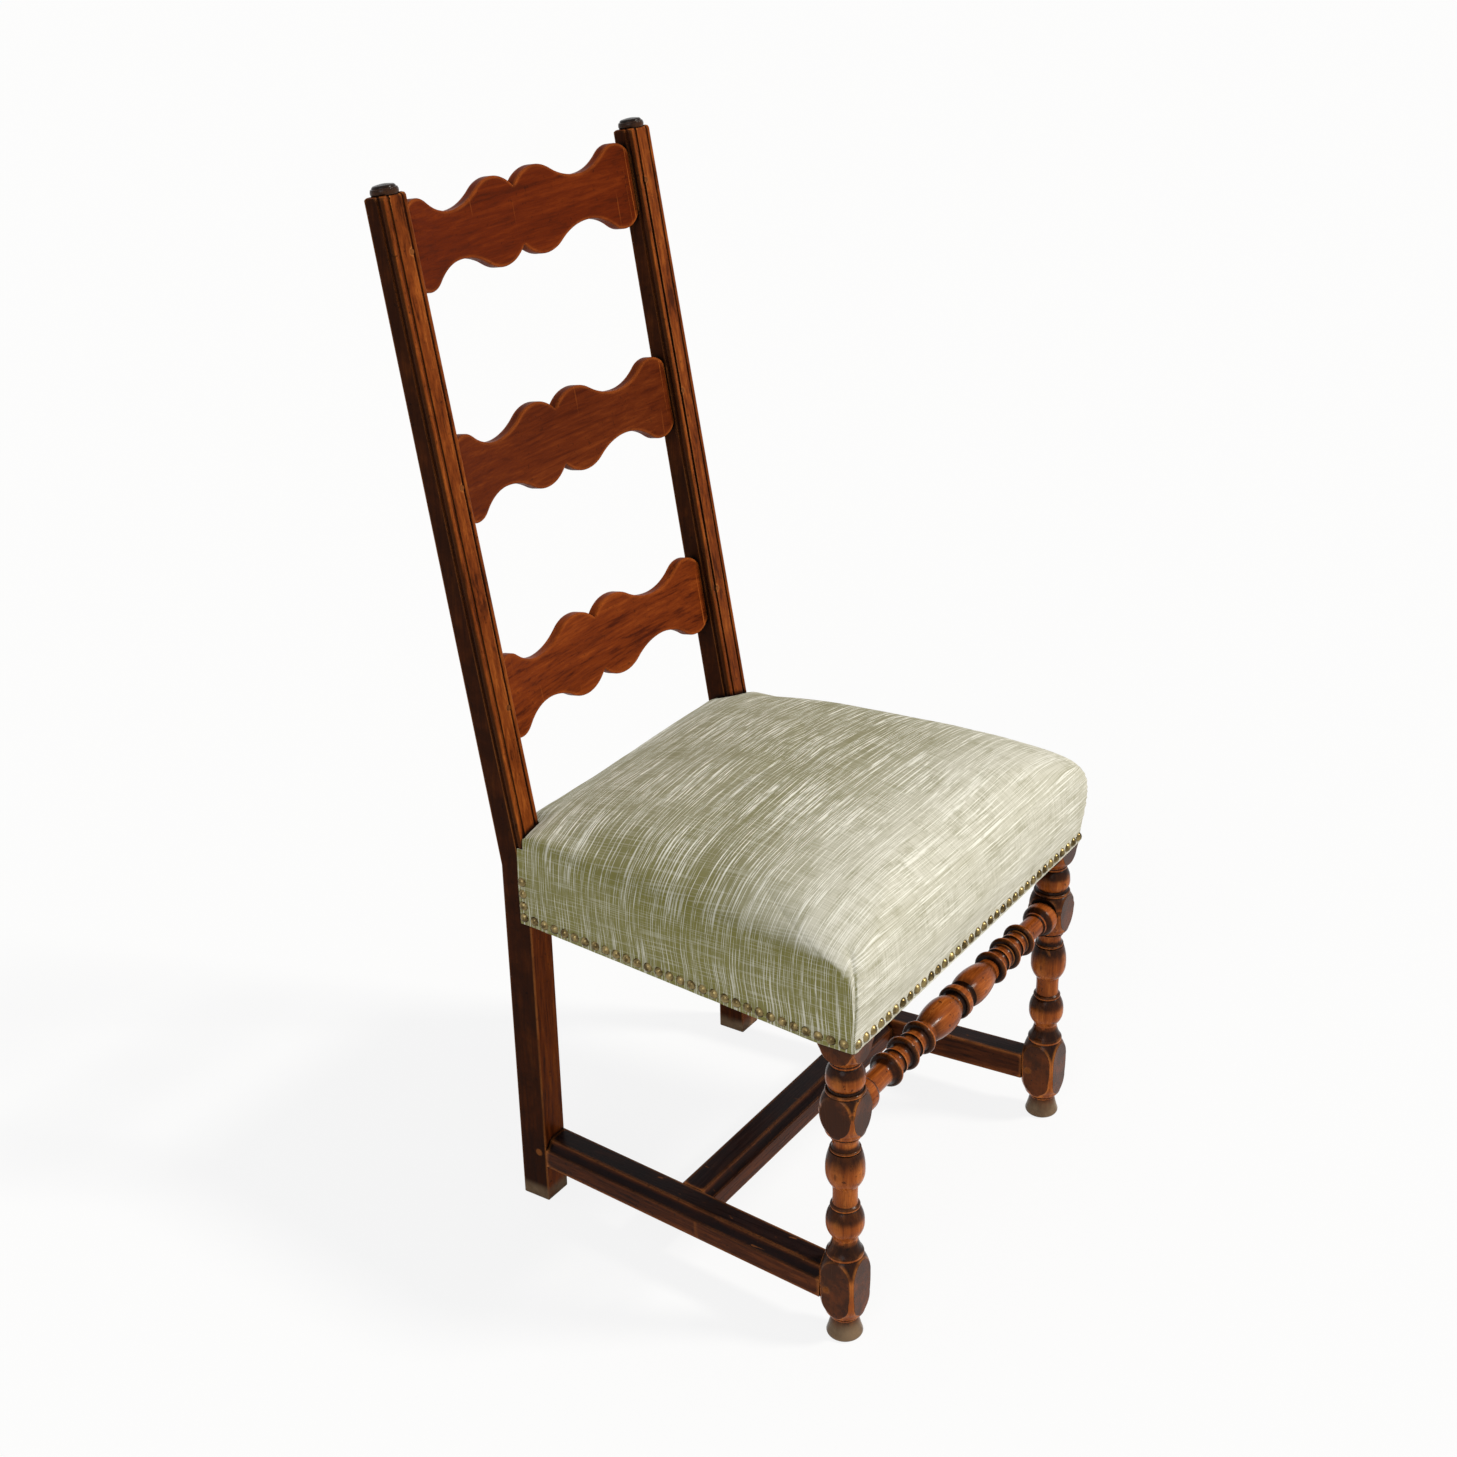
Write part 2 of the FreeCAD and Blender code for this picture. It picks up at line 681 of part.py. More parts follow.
def leg_profile():
    """Half profile of the turning from the floor to the square top block: radius, height, rise of the arc."""
    turned = "block_turn_radius"
    rows = [
        ("foot_radius * 0.92", "0", "foot_height * 0.02"),
        ("foot_radius", "foot_height * 0.16", "-foot_height * 0.02"),
        ("neck_radius * 1.12", "foot_height", "foot_ring_height * 0.2"),
        ("neck_radius * 1.16", "low_block_base", "low_block_height * 0.02"),
        (f"{turned} * 0.8", "low_block_base + low_block_height * 0.1", "low_block_height * 0.02"),
        (f"{turned} * 0.97", "low_block_base + low_block_height * 0.34", "low_block_height * 0.005"),
        (turned, "low_block_base + low_block_height * 0.66", "low_block_height * 0.03"),
        ("ring_radius * 0.95", "low_block_top", "low_ring_height * 0.2"),
        ("ring_radius * 0.92", "reel_base", "-reel_height * 0.05"),
        ("neck_radius * 1.02", "ball_base - reel_height * 0.2"),
        ("neck_radius * 1.12", "ball_base", "ball_height * 0.048"),
        ("ball_radius", "ball_base + ball_height * 0.48", "ball_height * 0.04"),
        ("neck_radius * 1.2", "collar_base"),
        ("neck_radius * 1.12", "collar_base + collar_height * 0.15", "collar_height * 0.15"),
        ("neck_radius * 1.14", "collar_base + collar_height * 0.8"),
        ("neck_radius * 1.02", "neck_base", "-neck_height * 0.02"),
        ("neck_radius * 1.02", "vase_base"),
        ("neck_radius * 1.18", "vase_base + vase_height * 0.06", "vase_height * 0.034"),
        ("vase_radius", "vase_base + vase_height * 0.45", "vase_height * 0.025"),
        ("vase_radius * 0.82", "cup_base"),
        ("vase_radius * 0.75", "cup_base + cup_height * 0.05", "cup_height * 0.05"),
        ("vase_radius * 0.77", "cup_base + cup_height * 0.24"),
        ("vase_radius * 0.72", "cup_base + cup_height * 0.27", "-cup_height * 0.07"),
        ("neck_radius * 1.08", "cup_ring_base", "cup_ring_height * 0.35"),
        ("neck_radius * 1.18", "mid_block_base", "mid_block_height * 0.03"),
        (f"{turned} * 0.8", "mid_block_base + mid_block_height * 0.15", "mid_block_height * 0.025"),
        (turned, "mid_block_base + mid_block_height * 0.54", "mid_block_height * 0.02"),
        (f"{turned} * 0.97", "mid_block_base + mid_block_height * 0.72", "mid_block_height * 0.03"),
        ("ring_radius", "mid_block_top", "bead_ring_height * 0.15"),
        ("ring_radius * 0.99", "mid_block_top + bead_ring_height * 0.6"),
        ("ring_radius * 0.9", "mid_block_top + bead_ring_height * 0.68"),
        ("ring_radius * 0.86", "knop_base", "knop_height * 0.05"),
        ("knop_radius", "knop_base + knop_height * 0.45", "knop_height * 0.045"),
        ("knop_radius * 0.8", "fillet_base"),
        ("knop_radius * 0.76", "fillet_base + fillet_height * 0.12", "fillet_height * 0.1"),
        ("knop_radius * 0.79", "fillet_base + fillet_height * 0.7"),
        ("knop_radius * 0.84", "top_block_base", "top_block_height * 0.02"),
        (f"{turned} * 0.98", "top_block_base + top_block_height * 0.15", "top_block_height * 0.01"),
        ("block_side * 0.75", "top_block_base + top_block_height * 0.33"),
    ]
    return rows


def build_leg(side, sign, tools):
    """Front leg: a square blank turned between its blocks, with its mortises."""
    body = new_body(f"leg_{side}", (f"{sign} * leg_x", "leg_y", "0"))
    blank = outline(body, f"leg_blank_{side}", "XY_Plane", rectangle("0", "0", "block_side", "block_side"))
    extrude(body, "Pad", blank, "rail_top")
    rows = leg_profile()
    clear = "block_side * 0.75 + overrun"
    neck = len(rows) // 2
    for tag, stretch in (("low", rows[:neck]), ("high", rows[neck - 1:])):
        waste = stretch[:-1] + [
            stretch[-1][:2],
            (clear, stretch[-1][1]),
            (clear, stretch[0][1]),
        ]
        turn(body, "Groove", outline(body, f"leg_waste_{tag}_{side}", "XZ_Plane", waste), "V_Axis")
    doc.recompute()
    inner = f"{-sign} * block_half"
    hole = circle(body, f"spindle_bore_{side}", "YZ_Plane", "0", "spindle_height",
                  "spindle_tenon_radius + joint_gap", inner)
    extrude(body, "Pocket", hole, "spindle_tenon_length + joint_gap", back=sign > 0)
    rail = rectangle("rail_thickness / 2 - block_half", "rail_top - rail_height / 2",
                     "tenon_thickness + 2 * joint_gap", "rail_height - 2 * tenon_shoulder + 2 * joint_gap")
    sketch = outline(body, f"front_mortise_{side}", "YZ_Plane", rail, inner)
    extrude(body, "Pocket", sketch, "rail_tenon_length + joint_gap", back=sign > 0)
    seats = [
        ("rail", f"{sign} * (block_side - rail_thickness) / 2", "rail_top - rail_height / 2",
         "rail_height - 2 * tenon_shoulder", "rail_tenon_length"),
        ("bar", "0", "bar_middle", "bar_tenon_height", "bar_tenon_length"),
    ]
    for tag, x, z, tall, deep in seats:
        slot = rectangle(x, z, "tenon_thickness + 2 * joint_gap", f"{tall} + 2 * joint_gap")
        sketch = outline(body, f"leg_{tag}_mortise_{side}", "XZ_Plane", slot, "-block_half")
        extrude(body, "Pocket", sketch, f"{deep} + joint_gap", back=True)
    finish(cut(f"front_leg_{side}", body, tools), f"front_leg_{side}")


# Front stretcher

def spindle_profile():
    """Half profile of the front stretcher from its middle to the end of its tenon: place, radius, hollow."""
    ring, cove = "spindle_ring_radius", "spindle_cove_radius"
    rows = [("0", ring), ("middle_ring_half * 0.55", ring, "-middle_ring_half * 0.1")]
    place = "middle_ring_half"
    rows.append((place, f"{ring} * 0.88"))
    rows.append((place, f"{cove} * 1.18", "middle_cove_length * 0.2"))
    place = f"({place} + middle_cove_length)"
    rows.append((place, f"{cove} * 1.14"))
    inward = swell("bulb_length * 0.28", f"{ring} * 0.14")
    outward = swell("bulb_length * 0.6", f"{ring} * 0.32")
    rows.append((f"{place} + bulb_length * 0.02", f"{ring} * 0.86", f"-{inward}"))
    rows.append((f"{place} + bulb_length * 0.3", ring, f"-{outward}"))
    rows.append((f"{place} + bulb_length * 0.9", f"{ring} * 0.68"))
    place = f"({place} + bulb_length)"
    for ring_number in range(OUTER_RINGS):
        rows.append((place, f"{cove} * 1.02"))
        rows.append((f"{place} + outer_ring_length * 0.08", f"{ring} * 0.86", "-outer_ring_length * 0.075"))
        rows.append((f"{place} + outer_ring_length * 0.5", ring, "-outer_ring_length * 0.06"))
        rows.append((f"{place} + outer_ring_length * 0.92", f"{ring} * 0.88"))
        place = f"({place} + outer_ring_length)"
        if ring_number < OUTER_RINGS - 1:
            rows.append((place, f"{cove} * 1.14", "double_cove_length * 0.06"))
            rows.append((f"{place} + double_cove_length * 0.43", f"{cove} * 1.06"))
            rows.append((f"{place} + double_cove_length * 0.45", f"{cove} * 1.18"))
            rows.append((f"{place} + double_cove_length * 0.55", f"{cove} * 1.18"))
            rows.append((f"{place} + double_cove_length * 0.57", f"{cove} * 1.06",
                         "double_cove_length * 0.06"))
            place = f"({place} + double_cove_length)"
            rows.append((place, f"{cove} * 1.14"))
    rows.append((place, f"{cove} * 1.2", "flare_length * 0.12"))
    rows.append((f"{place} + flare_length", "spindle_radius"))
    end = "(leg_x - block_half)"
    rows.append((f"{end} - dome_length", "spindle_radius"))
    rows.append((f"{end} - dome_length * 0.94", f"{ring} * 0.72"))
    rows.append((f"{end} - dome_length * 0.84", f"{ring} * 0.74", "-dome_length * 0.07"))
    rows.append((f"{end} - dome_length * 0.4", f"{ring} * 0.98", "-dome_length * 0.02"))
    rows.append((end, f"{ring} * 0.94"))
    rows.append((end, "spindle_tenon_radius"))
    rows.append((f"{end} + spindle_tenon_length", "spindle_tenon_radius"))
    return rows


def build_spindle():
    """Turned front stretcher with a round tenon at each end."""
    body = new_body("spindle", ("0", "leg_y", "spindle_height"))
    rows = spindle_profile()
    profile = [("0", "0")] + rows + [(rows[-1][0], "0")]
    half = turn(body, "Revolution", outline(body, "spindle_profile", "XZ_Plane", profile), "H_Axis")
    doc.recompute()
    whole = body.newObject("PartDesign::Mirrored", "spindle_whole")
    whole.Originals = [half]
    whole.MirrorPlane = (origin_plane(body, "YZ_Plane"), [""])
    body.Tip = whole
    finish(body, "front_stretcher")


# Rails and low stretchers

def end_tenon(body, name, x, z, tall, y, length, back):
    """Tenon that stands out of an end along the depth of the chair."""
    sketch = outline(body, name, "XZ_Plane", rectangle(x, z, "tenon_thickness", tall), f"-({y})")
    extrude(body, "Pad", sketch, length, back=back)


def build_side_rail(side, sign, tools):
    """Side rail of the seat, flush with the outer faces of leg and post."""
    body = new_body(f"side_rail_body_{side}")
    leg_end = f"{sign} * (frame_half_front - rail_thickness / 2)"
    post_end = f"{sign} * (frame_half_rear - rail_thickness / 2)"
    height = "rail_top - rail_height / 2"
    sections = [
        outline(body, f"side_rail_{tag}_{side}", "XZ_Plane",
                rectangle(x, height, "rail_thickness", "rail_height"), f"-({y})")
        for tag, x, y in (("front", leg_end, "leg_back"), ("rear", post_end, "post_front"))
    ]
    loft(body, "Additive", sections, ruled=True)
    tall = "rail_height - 2 * tenon_shoulder"
    end_tenon(body, f"side_rail_tenon_front_{side}", leg_end, height, tall, "leg_back",
              "rail_tenon_length", False)
    end_tenon(body, f"side_rail_tenon_rear_{side}", post_end, height, tall, "post_front",
              "rail_tenon_length", True)
    finish(cut(f"side_rail_{side}", body, tools), f"side_rail_{side}")


def build_cross_rail(label, y, half_length, tenon_length, tools):
    """Front or rear rail of the seat with a tenon at each end."""
    body = new_body(f"{label}_body")
    height = "rail_top - rail_height / 2"
    section = rectangle(y, height, "rail_thickness", "rail_height")
    extrude(body, "Pad", outline(body, f"{label}_section", "YZ_Plane", section, f"-({half_length})"),
            f"2 * ({half_length})")
    tongue = rectangle(y, height, "tenon_thickness", "rail_height - 2 * tenon_shoulder")
    for side, sign in SIDES.items():
        sketch = outline(body, f"{label}_tenon_{side}", "YZ_Plane", tongue, f"{sign} * ({half_length})")
        extrude(body, "Pad", sketch, tenon_length, back=sign < 0)
    finish(cut(label, body, tools), label)


def bar_section(sign, x):
    """Section of a side stretcher: a rectangle with a cove on its outer upper arris."""
    outer, inner = f"{x} + {sign} * bar_width / 2", f"{x} - {sign} * bar_width / 2"
    return [
        (inner, "bar_bottom"),
        (outer, "bar_bottom"),
        (outer, "bar_top - cove_height", f"{-sign} * cove_width * 0.28"),
        (f"{outer} - {sign} * cove_width", "bar_top"),
        (inner, "bar_top"),
    ]


def bar_inner(y):
    """Distance of a side stretcher's inner face from the middle of the chair at a depth."""
    return f"(post_x + (leg_x - post_x) * (post_front - ({y})) / bar_run - bar_width / 2)"


def build_side_bar(side, sign, tools):
    """Low side stretcher from leg to post, mortised for the cross stretcher."""
    body = new_body(f"side_bar_{side}")
    leg_end, post_end = f"{sign} * leg_x", f"{sign} * post_x"
    sections = [
        outline(body, f"side_bar_{tag}_{side}", "XZ_Plane", bar_section(sign, x), f"-({y})")
        for tag, x, y in (("front", leg_end, "leg_back"), ("rear", post_end, "post_front"))
    ]
    loft(body, "Additive", sections, ruled=True)
    end_tenon(body, f"side_bar_tenon_front_{side}", leg_end, "bar_middle", "bar_tenon_height", "leg_back",
              "bar_tenon_length", False)
    end_tenon(body, f"side_bar_tenon_rear_{side}", post_end, "bar_middle", "bar_tenon_height", "post_front",
              "bar_tenon_length", True)
    doc.recompute()
    slot = rectangle("cross_y", "bar_middle", "cross_tenon_width + 2 * joint_gap",
                     "tenon_thickness + 2 * joint_gap")
    start = f"{sign} * ({bar_inner('cross_y')} - overrun)"
    sketch = outline(body, f"cross_mortise_{side}", "YZ_Plane", slot, start)
    extrude(body, "Pocket", sketch, "cross_tenon_length + joint_gap + overrun", back=sign > 0)
    finish(cut(f"side_stretcher_{side}", body, tools), f"side_stretcher_{side}")


def build_cross_bar():
    """Cross stretcher, coved on both upper arrises, cut to the slant of the side stretchers."""
    body = new_body("cross_bar")
    front, rear = "(cross_y - cross_width / 2)", "(cross_y + cross_width / 2)"
    section = [
        (front, "bar_bottom"),
        (rear, "bar_bottom"),
        (rear, "bar_top - cove_height", "-cove_width * 0.28"),
        (f"{rear} - cove_width", "bar_top"),
        (f"{front} + cove_width", "bar_top", "-cove_width * 0.28"),
        (front, "bar_top - cove_height"),
    ]
    length = f"({bar_inner(front)} + overrun)"
    extrude(body, "Pad", outline(body, "cross_section", "YZ_Plane", section, f"-{length}"), f"2 * {length}")
    sketch = new_sketch(body, "cross_waste", "XY_Plane", "bar_top + overrun")
    near, far = f"({front} - overrun)", f"({rear} + overrun)"
    for sign in SIDES.values():
        draw_outline(sketch, [
            (f"{sign} * {bar_inner(near)}", near),
            (f"{sign} * ({length} + overrun)", near),
            (f"{sign} * ({length} + overrun)", far),
            (f"{sign} * {bar_inner(far)}", far),
        ])
    pocket_through(body, sketch)
    tongue = rectangle("cross_y", "bar_middle", "cross_tenon_width", "tenon_thickness")
    for side, sign in SIDES.items():
        root = f"{sign} * ({bar_inner('cross_y')} - overrun)"
        tenon = outline(body, f"cross_tenon_{side}", "YZ_Plane", tongue, root)
        extrude(body, "Pad", tenon, "cross_tenon_length + overrun", back=sign < 0)
    finish(body, "cross_stretcher")


# Webbing and hessian

def strap(name, corner, size):
    """One flat strap."""
    piece = doc.addObject("Part::Box", name)
    for prop, text in zip(("Length", "Width", "Height"), size):
        bind(piece, prop, text)
    for letter, text in zip("xyz", corner):
        bind(piece, f"Placement.Base.{letter}", text)
    return piece


def rail_inner(y):
    """Half width between the inner faces of the side rails at a depth."""
    slope = f"(frame_half_front - frame_half_rear) * (post_front - ({y})) / bar_run"
    return f"(frame_half_rear + {slope} - rail_thickness)"


def build_webbing():
    """Straps from front to rear, and straps from side to side over them."""
    near, far = "(frame_front + rail_thickness)", "(rear_rail_back - rail_thickness)"
    clear_half = "(slat_half - web_bearing)"
    lengthwise = [
        strap(f"web_long_{index}",
              (f"{clear_half} * {share} - web_width / 2", f"{near} - web_bearing", "rail_top"),
              ("web_width", f"{far} - {near} + 2 * web_bearing", "web_thickness"))
        for index, share in enumerate(LENGTHWISE_SHARES)
    ]
    finish(compound("webbing_lengthwise", lengthwise), "webbing_lengthwise")
    crosswise = []
    for index, share in enumerate(CROSSWISE_SHARES):
        middle = f"({near} + ({far} - {near}) * {share})"
        half = f"({rail_inner(middle)} + web_bearing)"
        crosswise.append(strap(f"web_cross_{index}",
                               (f"-{half}", f"{middle} - web_width / 2", "rail_top + web_thickness"),
                               (f"2 * {half}", "web_width", "web_thickness")))
    finish(compound("webbing_crosswise", crosswise), "webbing_crosswise")


def frame_outline(outset, flare="0"):
    """Half widths and depths of the seat frame's plan, moved outwards, and further out at the front."""
    front, rear = f"(frame_half_front + ({outset}) + ({flare}))", f"(frame_half_rear + ({outset}))"
    near, far = f"(frame_front - ({outset}) - ({flare}))", f"(rear_rail_back + ({outset}))"
    return front, rear, near, far


def build_hessian():
    """Sheet over the webbing, cut round the posts."""
    front, rear, near, _ = frame_outline("-hessian_inset")
    inner, back = "(slat_half - soft_gap)", "(rear_rail_back - hessian_inset)"
    front_of_post = "(post_front - soft_gap)"
    right = [
        (front, near),
        (front, "leg_back"),
        (rear, front_of_post),
        (inner, front_of_post),
        (inner, back),
    ]
    left = [(f"-{x}", y) for x, y in reversed(right)]
    body = new_body("hessian_body")
    sheet_plan = outline(body, "hessian_plan", "XY_Plane", right + left, "hessian_base")
    extrude(body, "Pad", sheet_plan, "hessian_thickness")
    finish(body, "hessian")


# Stuffed seat

def seat_section(body, name, outset, corner, height, flare="0"):
    """Plan of the seat at one height, with rounded corners."""
    front, rear, near, far = frame_outline(outset, flare)
    round_rise = f"({corner}) * (1 - sqrt(2) / 2)"
    right = [
        (f"{front} - ({corner})", near, round_rise),
        (front, f"{near} + ({corner})"),
        (front, f"max(leg_back; {near} + ({corner}) * 1.05)"),
        (rear, f"min(post_front; {far} - ({corner}) * 1.05)"),
        (rear, f"{far} - ({corner})", round_rise),
        (f"{rear} - ({corner})", far),
    ]
    left = []
    for row in range(len(right) - 1, -1, -1):
        x, y = right[row][:2]
        before = right[row - 1] if row else ()
        rise = (before[2],) if len(before) == 3 else ()
        left.append((f"-({x})", y) + rise)
    return outline(body, name, "XY_Plane", right + left, height)


def crown_sections(body, tag, thinner, first_row):
    """Plans of the seat from the nail band to the crown, all moved inwards by a thickness."""
    sections = []
    for index, (rise, flare, inset, corner) in enumerate(CROWN_SHARES[first_row:], start=first_row):
        outset = f"cover_outset - seat_inset * {inset} - ({thinner})"
        radius = f"max(cover_corner + crown_corner * {corner} - ({thinner}); cover_corner / 3)"
        height = f"band_top + (crown_top - ({thinner}) - band_top) * {rise}"
        sections.append(seat_section(body, f"{tag}_{index}", outset, radius, height, f"seat_flare * {flare}"))
    return sections


def post_rooms():
    """Room round each post through the seat, and behind the flap of cover on the post's outer face."""
    rooms = []
    front, back = "(-post_depth / 2 - soft_gap)", "(post_depth / 2 + overrun)"
    top = "crown_top + overrun"
    lean = f"post_setback * {lean_share(top)}"
    side_view = [
        (front, "rail_bottom - overrun"),
        (f"{back} + rear_rail_inset", "rail_bottom - overrun"),
        (f"{back} + rear_rail_inset", top),
        (f"{front} + {lean} * 0.9", top),
        (front, "knee_line"),
    ]
    for side, sign in SIDES.items():
        body = new_body(f"post_room_{side}", (f"{sign} * post_x", "post_y", "0"))
        room = outline(body, f"post_room_view_{side}", "YZ_Plane", side_view, "-post_width / 2 - soft_gap")
        extrude(body, "Pad", room, "post_width + 2 * soft_gap")
        start = f"{sign} * (post_width / 2)" if sign > 0 else "-post_width / 2 - seat_flare - 2 * overrun"
        behind = [
            ("-post_depth / 2 + post_wrap", "rail_bottom - overrun"),
            (f"{back} + rear_rail_inset", "rail_bottom - overrun"),
            (f"{back} + rear_rail_inset", top),
            ("-post_depth / 2 + post_wrap", top),
        ]
        flap = outline(body, f"flap_room_view_{side}", "YZ_Plane", behind, start)
        extrude(body, "Pad", flap, "seat_flare + 2 * overrun")
        rooms.append(body)
    return rooms


def build_stuffing(rooms):
    """Crowned pad over the hessian, lapping down over the rails."""
    body = new_body("stuffing_body")
    thinner = "cover_thickness + soft_gap"
    loft(body, "Additive", crown_sections(body, "stuffing", thinner, STUFFING_FIRST_ROW), ruled=True)
    doc.recompute()
    front, rear, near, far = frame_outline("soft_gap")
    right = [(front, near), (front, "leg_back"), (rear, "post_front"), (rear, far)]
    left = [(f"-{x}", y) for x, y in reversed(right)]
    under = outline(body, "stuffing_under", "XY_Plane", right + left, "hessian_top + soft_gap")
    extrude(body, "Pocket", under, "rail_height")
    finish(cut("seat_stuffing", body, rooms), "seat_stuffing")


def build_cover(rooms, holes):
    """Velvet over the stuffing and down over the rails, open below."""
    body = new_body("cover_body")
    band = seat_section(body, "cover_band_plan", "cover_outset", "cover_corner", "cover_bottom")
    extrude(body, "Pad", band, "cover_band")
    loft(body, "Additive", crown_sections(body, "cover_outer", "0", 0), ruled=True)
    doc.recompute()
    corner = "max(cover_corner - cover_thickness; cover_corner / 3)"
    hollow = seat_section(body, "cover_hollow_plan", "soft_gap", corner, "band_top")
    extrude(body, "Pocket", hollow, "cover_band + overrun")
    loft(body, "Subtractive", crown_sections(body, "cover_inner", "cover_thickness", 0), ruled=True)
    finish(cut("seat_cover", body, rooms + holes), "seat_cover")


# Domed nails

def nail_shape():
    """One nail with its head's flat on the origin and its shank along -Z."""
    body = new_body("nail_pattern")
    profile = [
        ("0", "-nail_shank_length - 2 * nail_shank_radius"),
        ("nail_shank_radius", "-nail_shank_length"),
        ("nail_shank_radius", "0"),
        ("nail_radius", "0", swell("nail_radius", "nail_dome")),
        ("0", "nail_dome"),
    ]
    turn(body, "Revolution", outline(body, "nail_profile", "XZ_Plane", profile), "V_Axis")
    doc.recompute()
    return body.Shape


def row_steps(span):
    """Even places along a row, as near the nail pitch as whole nails allow."""
    gaps = max(1, round(span / num("nail_pitch")))
    return [span * step / gaps for step in range(gaps + 1)]


def nail_rows():
    """Places and outward directions of the nails in each row."""
    line, outset = num("nail_line"), num("cover_outset")
    front_half, rear_half = num("frame_half_front"), num("frame_half_rear")
    half = front_half - num("nail_front_margin")
    face = num("frame_front") - outset
    front = [(Vector(x - half, face, line), Vector(0, -1, 0)) for x in row_steps(2 * half)]
    half = num("slat_half") - num("nail_rear_margin")
    face = num("rear_rail_back") + outset
    rear = [(Vector(x - half, face, line), Vector(0, 1, 0)) for x in row_steps(2 * half)]
    rows = {"nails_front": front, "nails_rear": rear}
    leg_line, post_line = num("leg_back"), num("post_front")
    start, end = num("frame_front") + num("nail_side_margin"), post_line + num("post_nail_inset")
    for side, sign in SIDES.items():
        slant = Vector(post_line - leg_line, front_half - rear_half, 0).normalize()
        row = []
        for y in row_steps(end - start):
            place = start + y
            share = min(max((place - leg_line) / (post_line - leg_line), 0), 1)
            x = front_half + (rear_half - front_half) * share
            on_rail = 0 < share < 1
            outward = Vector(sign * slant.x, slant.y, 0) if on_rail else Vector(sign, 0, 0)
            row.append((Vector(sign * x, place, line) + outward * outset, outward))
        for step in range(1, POST_NAILS + 1):
            height = line + step * num("nail_pitch")
            row.append((Vector(sign * (rear_half + outset), end, height), Vector(sign, 0, 0)))
        rows[f"nails_{side}"] = row
    return rows


def build_nails():
    """Rows of nails, and the holes for their shanks."""
    pattern = nail_shape()
    radius = num("nail_shank_radius + joint_gap / 2")
    depth = num("nail_shank_length + 2 * nail_shank_radius")
    holes = {}
    for label, row in nail_rows().items():
        heads, shanks = [], []
        for place, outward in row:
            head = pattern.copy()
            head.Placement = Placement(place, Rotation(Vector(0, 0, 1), outward))
            heads.append(head)
            shanks.append(Part.makeCylinder(radius, depth + num("overrun"),
                                            place + outward * num("overrun"), outward * -1))
        group = doc.addObject("Part::Feature", label)
        group.Shape = Part.makeCompound(heads)
        finish(group, label)
        hole = doc.addObject("Part::Feature", f"{label}_holes")
        hole.Shape = Part.makeCompound(shanks)
        holes[label] = hole
    return holes


# The whole chair

def build_chair():
    """Build every sub-part in the order in which the chair goes together."""
    slat_bores, bar_bores = build_pegs()
    holes = build_nails()
    for step, label in enumerate(SLATS):
        build_slat(label, step, slat_bores)
    for side, sign in SIDES.items():
        row = holes[f"nails_{side}"]
        build_post(side, sign, slat_bores + bar_bores + [finial_bore(side, sign), row])
        build_finial(side, sign)
        build_leg(side, sign, bar_bores + [holes["nails_front"], row])
        build_side_rail(side, sign, [row])
        build_side_bar(side, sign, bar_bores)
    build_spindle()
    build_cross_bar()
    build_cross_rail("front_rail", "frame_front + rail_thickness / 2", "leg_x - block_half",
                     "rail_tenon_length", [holes["nails_front"]])
    build_cross_rail("rear_rail", "rear_rail_back - rail_thickness / 2", "slat_half",
                     "rear_tenon_length", [holes["nails_rear"]])
    build_webbing()
    build_hessian()
    rooms = post_rooms()
    build_stuffing(rooms)
    build_cover(rooms, list(holes.values()))
    doc.recompute()


def check_and_write():
    """Stop on any failed object or bad shape, then write each sub-part to its file."""
    failed = [item.Name for item in doc.Objects if {"Invalid", "Error"} & set(item.State)]
    bad = [piece.Label for piece in nodes if piece.Shape.isNull() or not piece.Shape.isValid()]
    if failed or bad:
        raise SystemExit(f"failed objects: {failed}, bad shapes: {bad}")
    os.makedirs("parts", exist_ok=True)
    for piece in nodes:
        piece.Shape.exportStep(f"parts/{piece.Label}.step")
        print(piece.Label, len(piece.Shape.Solids), "solids", round(piece.Shape.Volume / 1000, 1), "cm3")


build_chair()
check_and_write()
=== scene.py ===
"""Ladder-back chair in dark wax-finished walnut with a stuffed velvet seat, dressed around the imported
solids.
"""

import logging
import math
from dataclasses import dataclass
from enum import Enum
from typing import Optional, Union

import bmesh
import bpy
from mathutils import Matrix, Vector, noise


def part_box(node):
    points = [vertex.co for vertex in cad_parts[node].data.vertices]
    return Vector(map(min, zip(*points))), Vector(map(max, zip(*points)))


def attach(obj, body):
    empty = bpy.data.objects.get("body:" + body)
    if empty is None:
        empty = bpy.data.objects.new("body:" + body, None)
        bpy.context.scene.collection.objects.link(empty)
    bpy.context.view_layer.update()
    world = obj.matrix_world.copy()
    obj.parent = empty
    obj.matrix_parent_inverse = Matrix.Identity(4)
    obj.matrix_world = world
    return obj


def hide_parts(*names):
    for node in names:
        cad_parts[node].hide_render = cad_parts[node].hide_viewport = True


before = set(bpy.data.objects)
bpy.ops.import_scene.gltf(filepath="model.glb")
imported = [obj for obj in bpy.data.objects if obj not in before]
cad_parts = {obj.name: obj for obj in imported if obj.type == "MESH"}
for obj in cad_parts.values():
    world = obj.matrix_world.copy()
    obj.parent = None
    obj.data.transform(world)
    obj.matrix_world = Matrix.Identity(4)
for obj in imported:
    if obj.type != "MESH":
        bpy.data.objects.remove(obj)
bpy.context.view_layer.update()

LOG = logging.getLogger("chair")
BODY = "root"
SIDES = {"left": -1, "right": 1}
WHITE = (1.0, 1.0, 1.0, 1.0)
MERGE_REACH = 0.00002

Socket = bpy.types.NodeSocket
Piece = bpy.types.Object
Tone = tuple[int, int, int]
Value = Union[float, Socket]
Triple = tuple[float, float, float]
Pair = tuple[float, float]


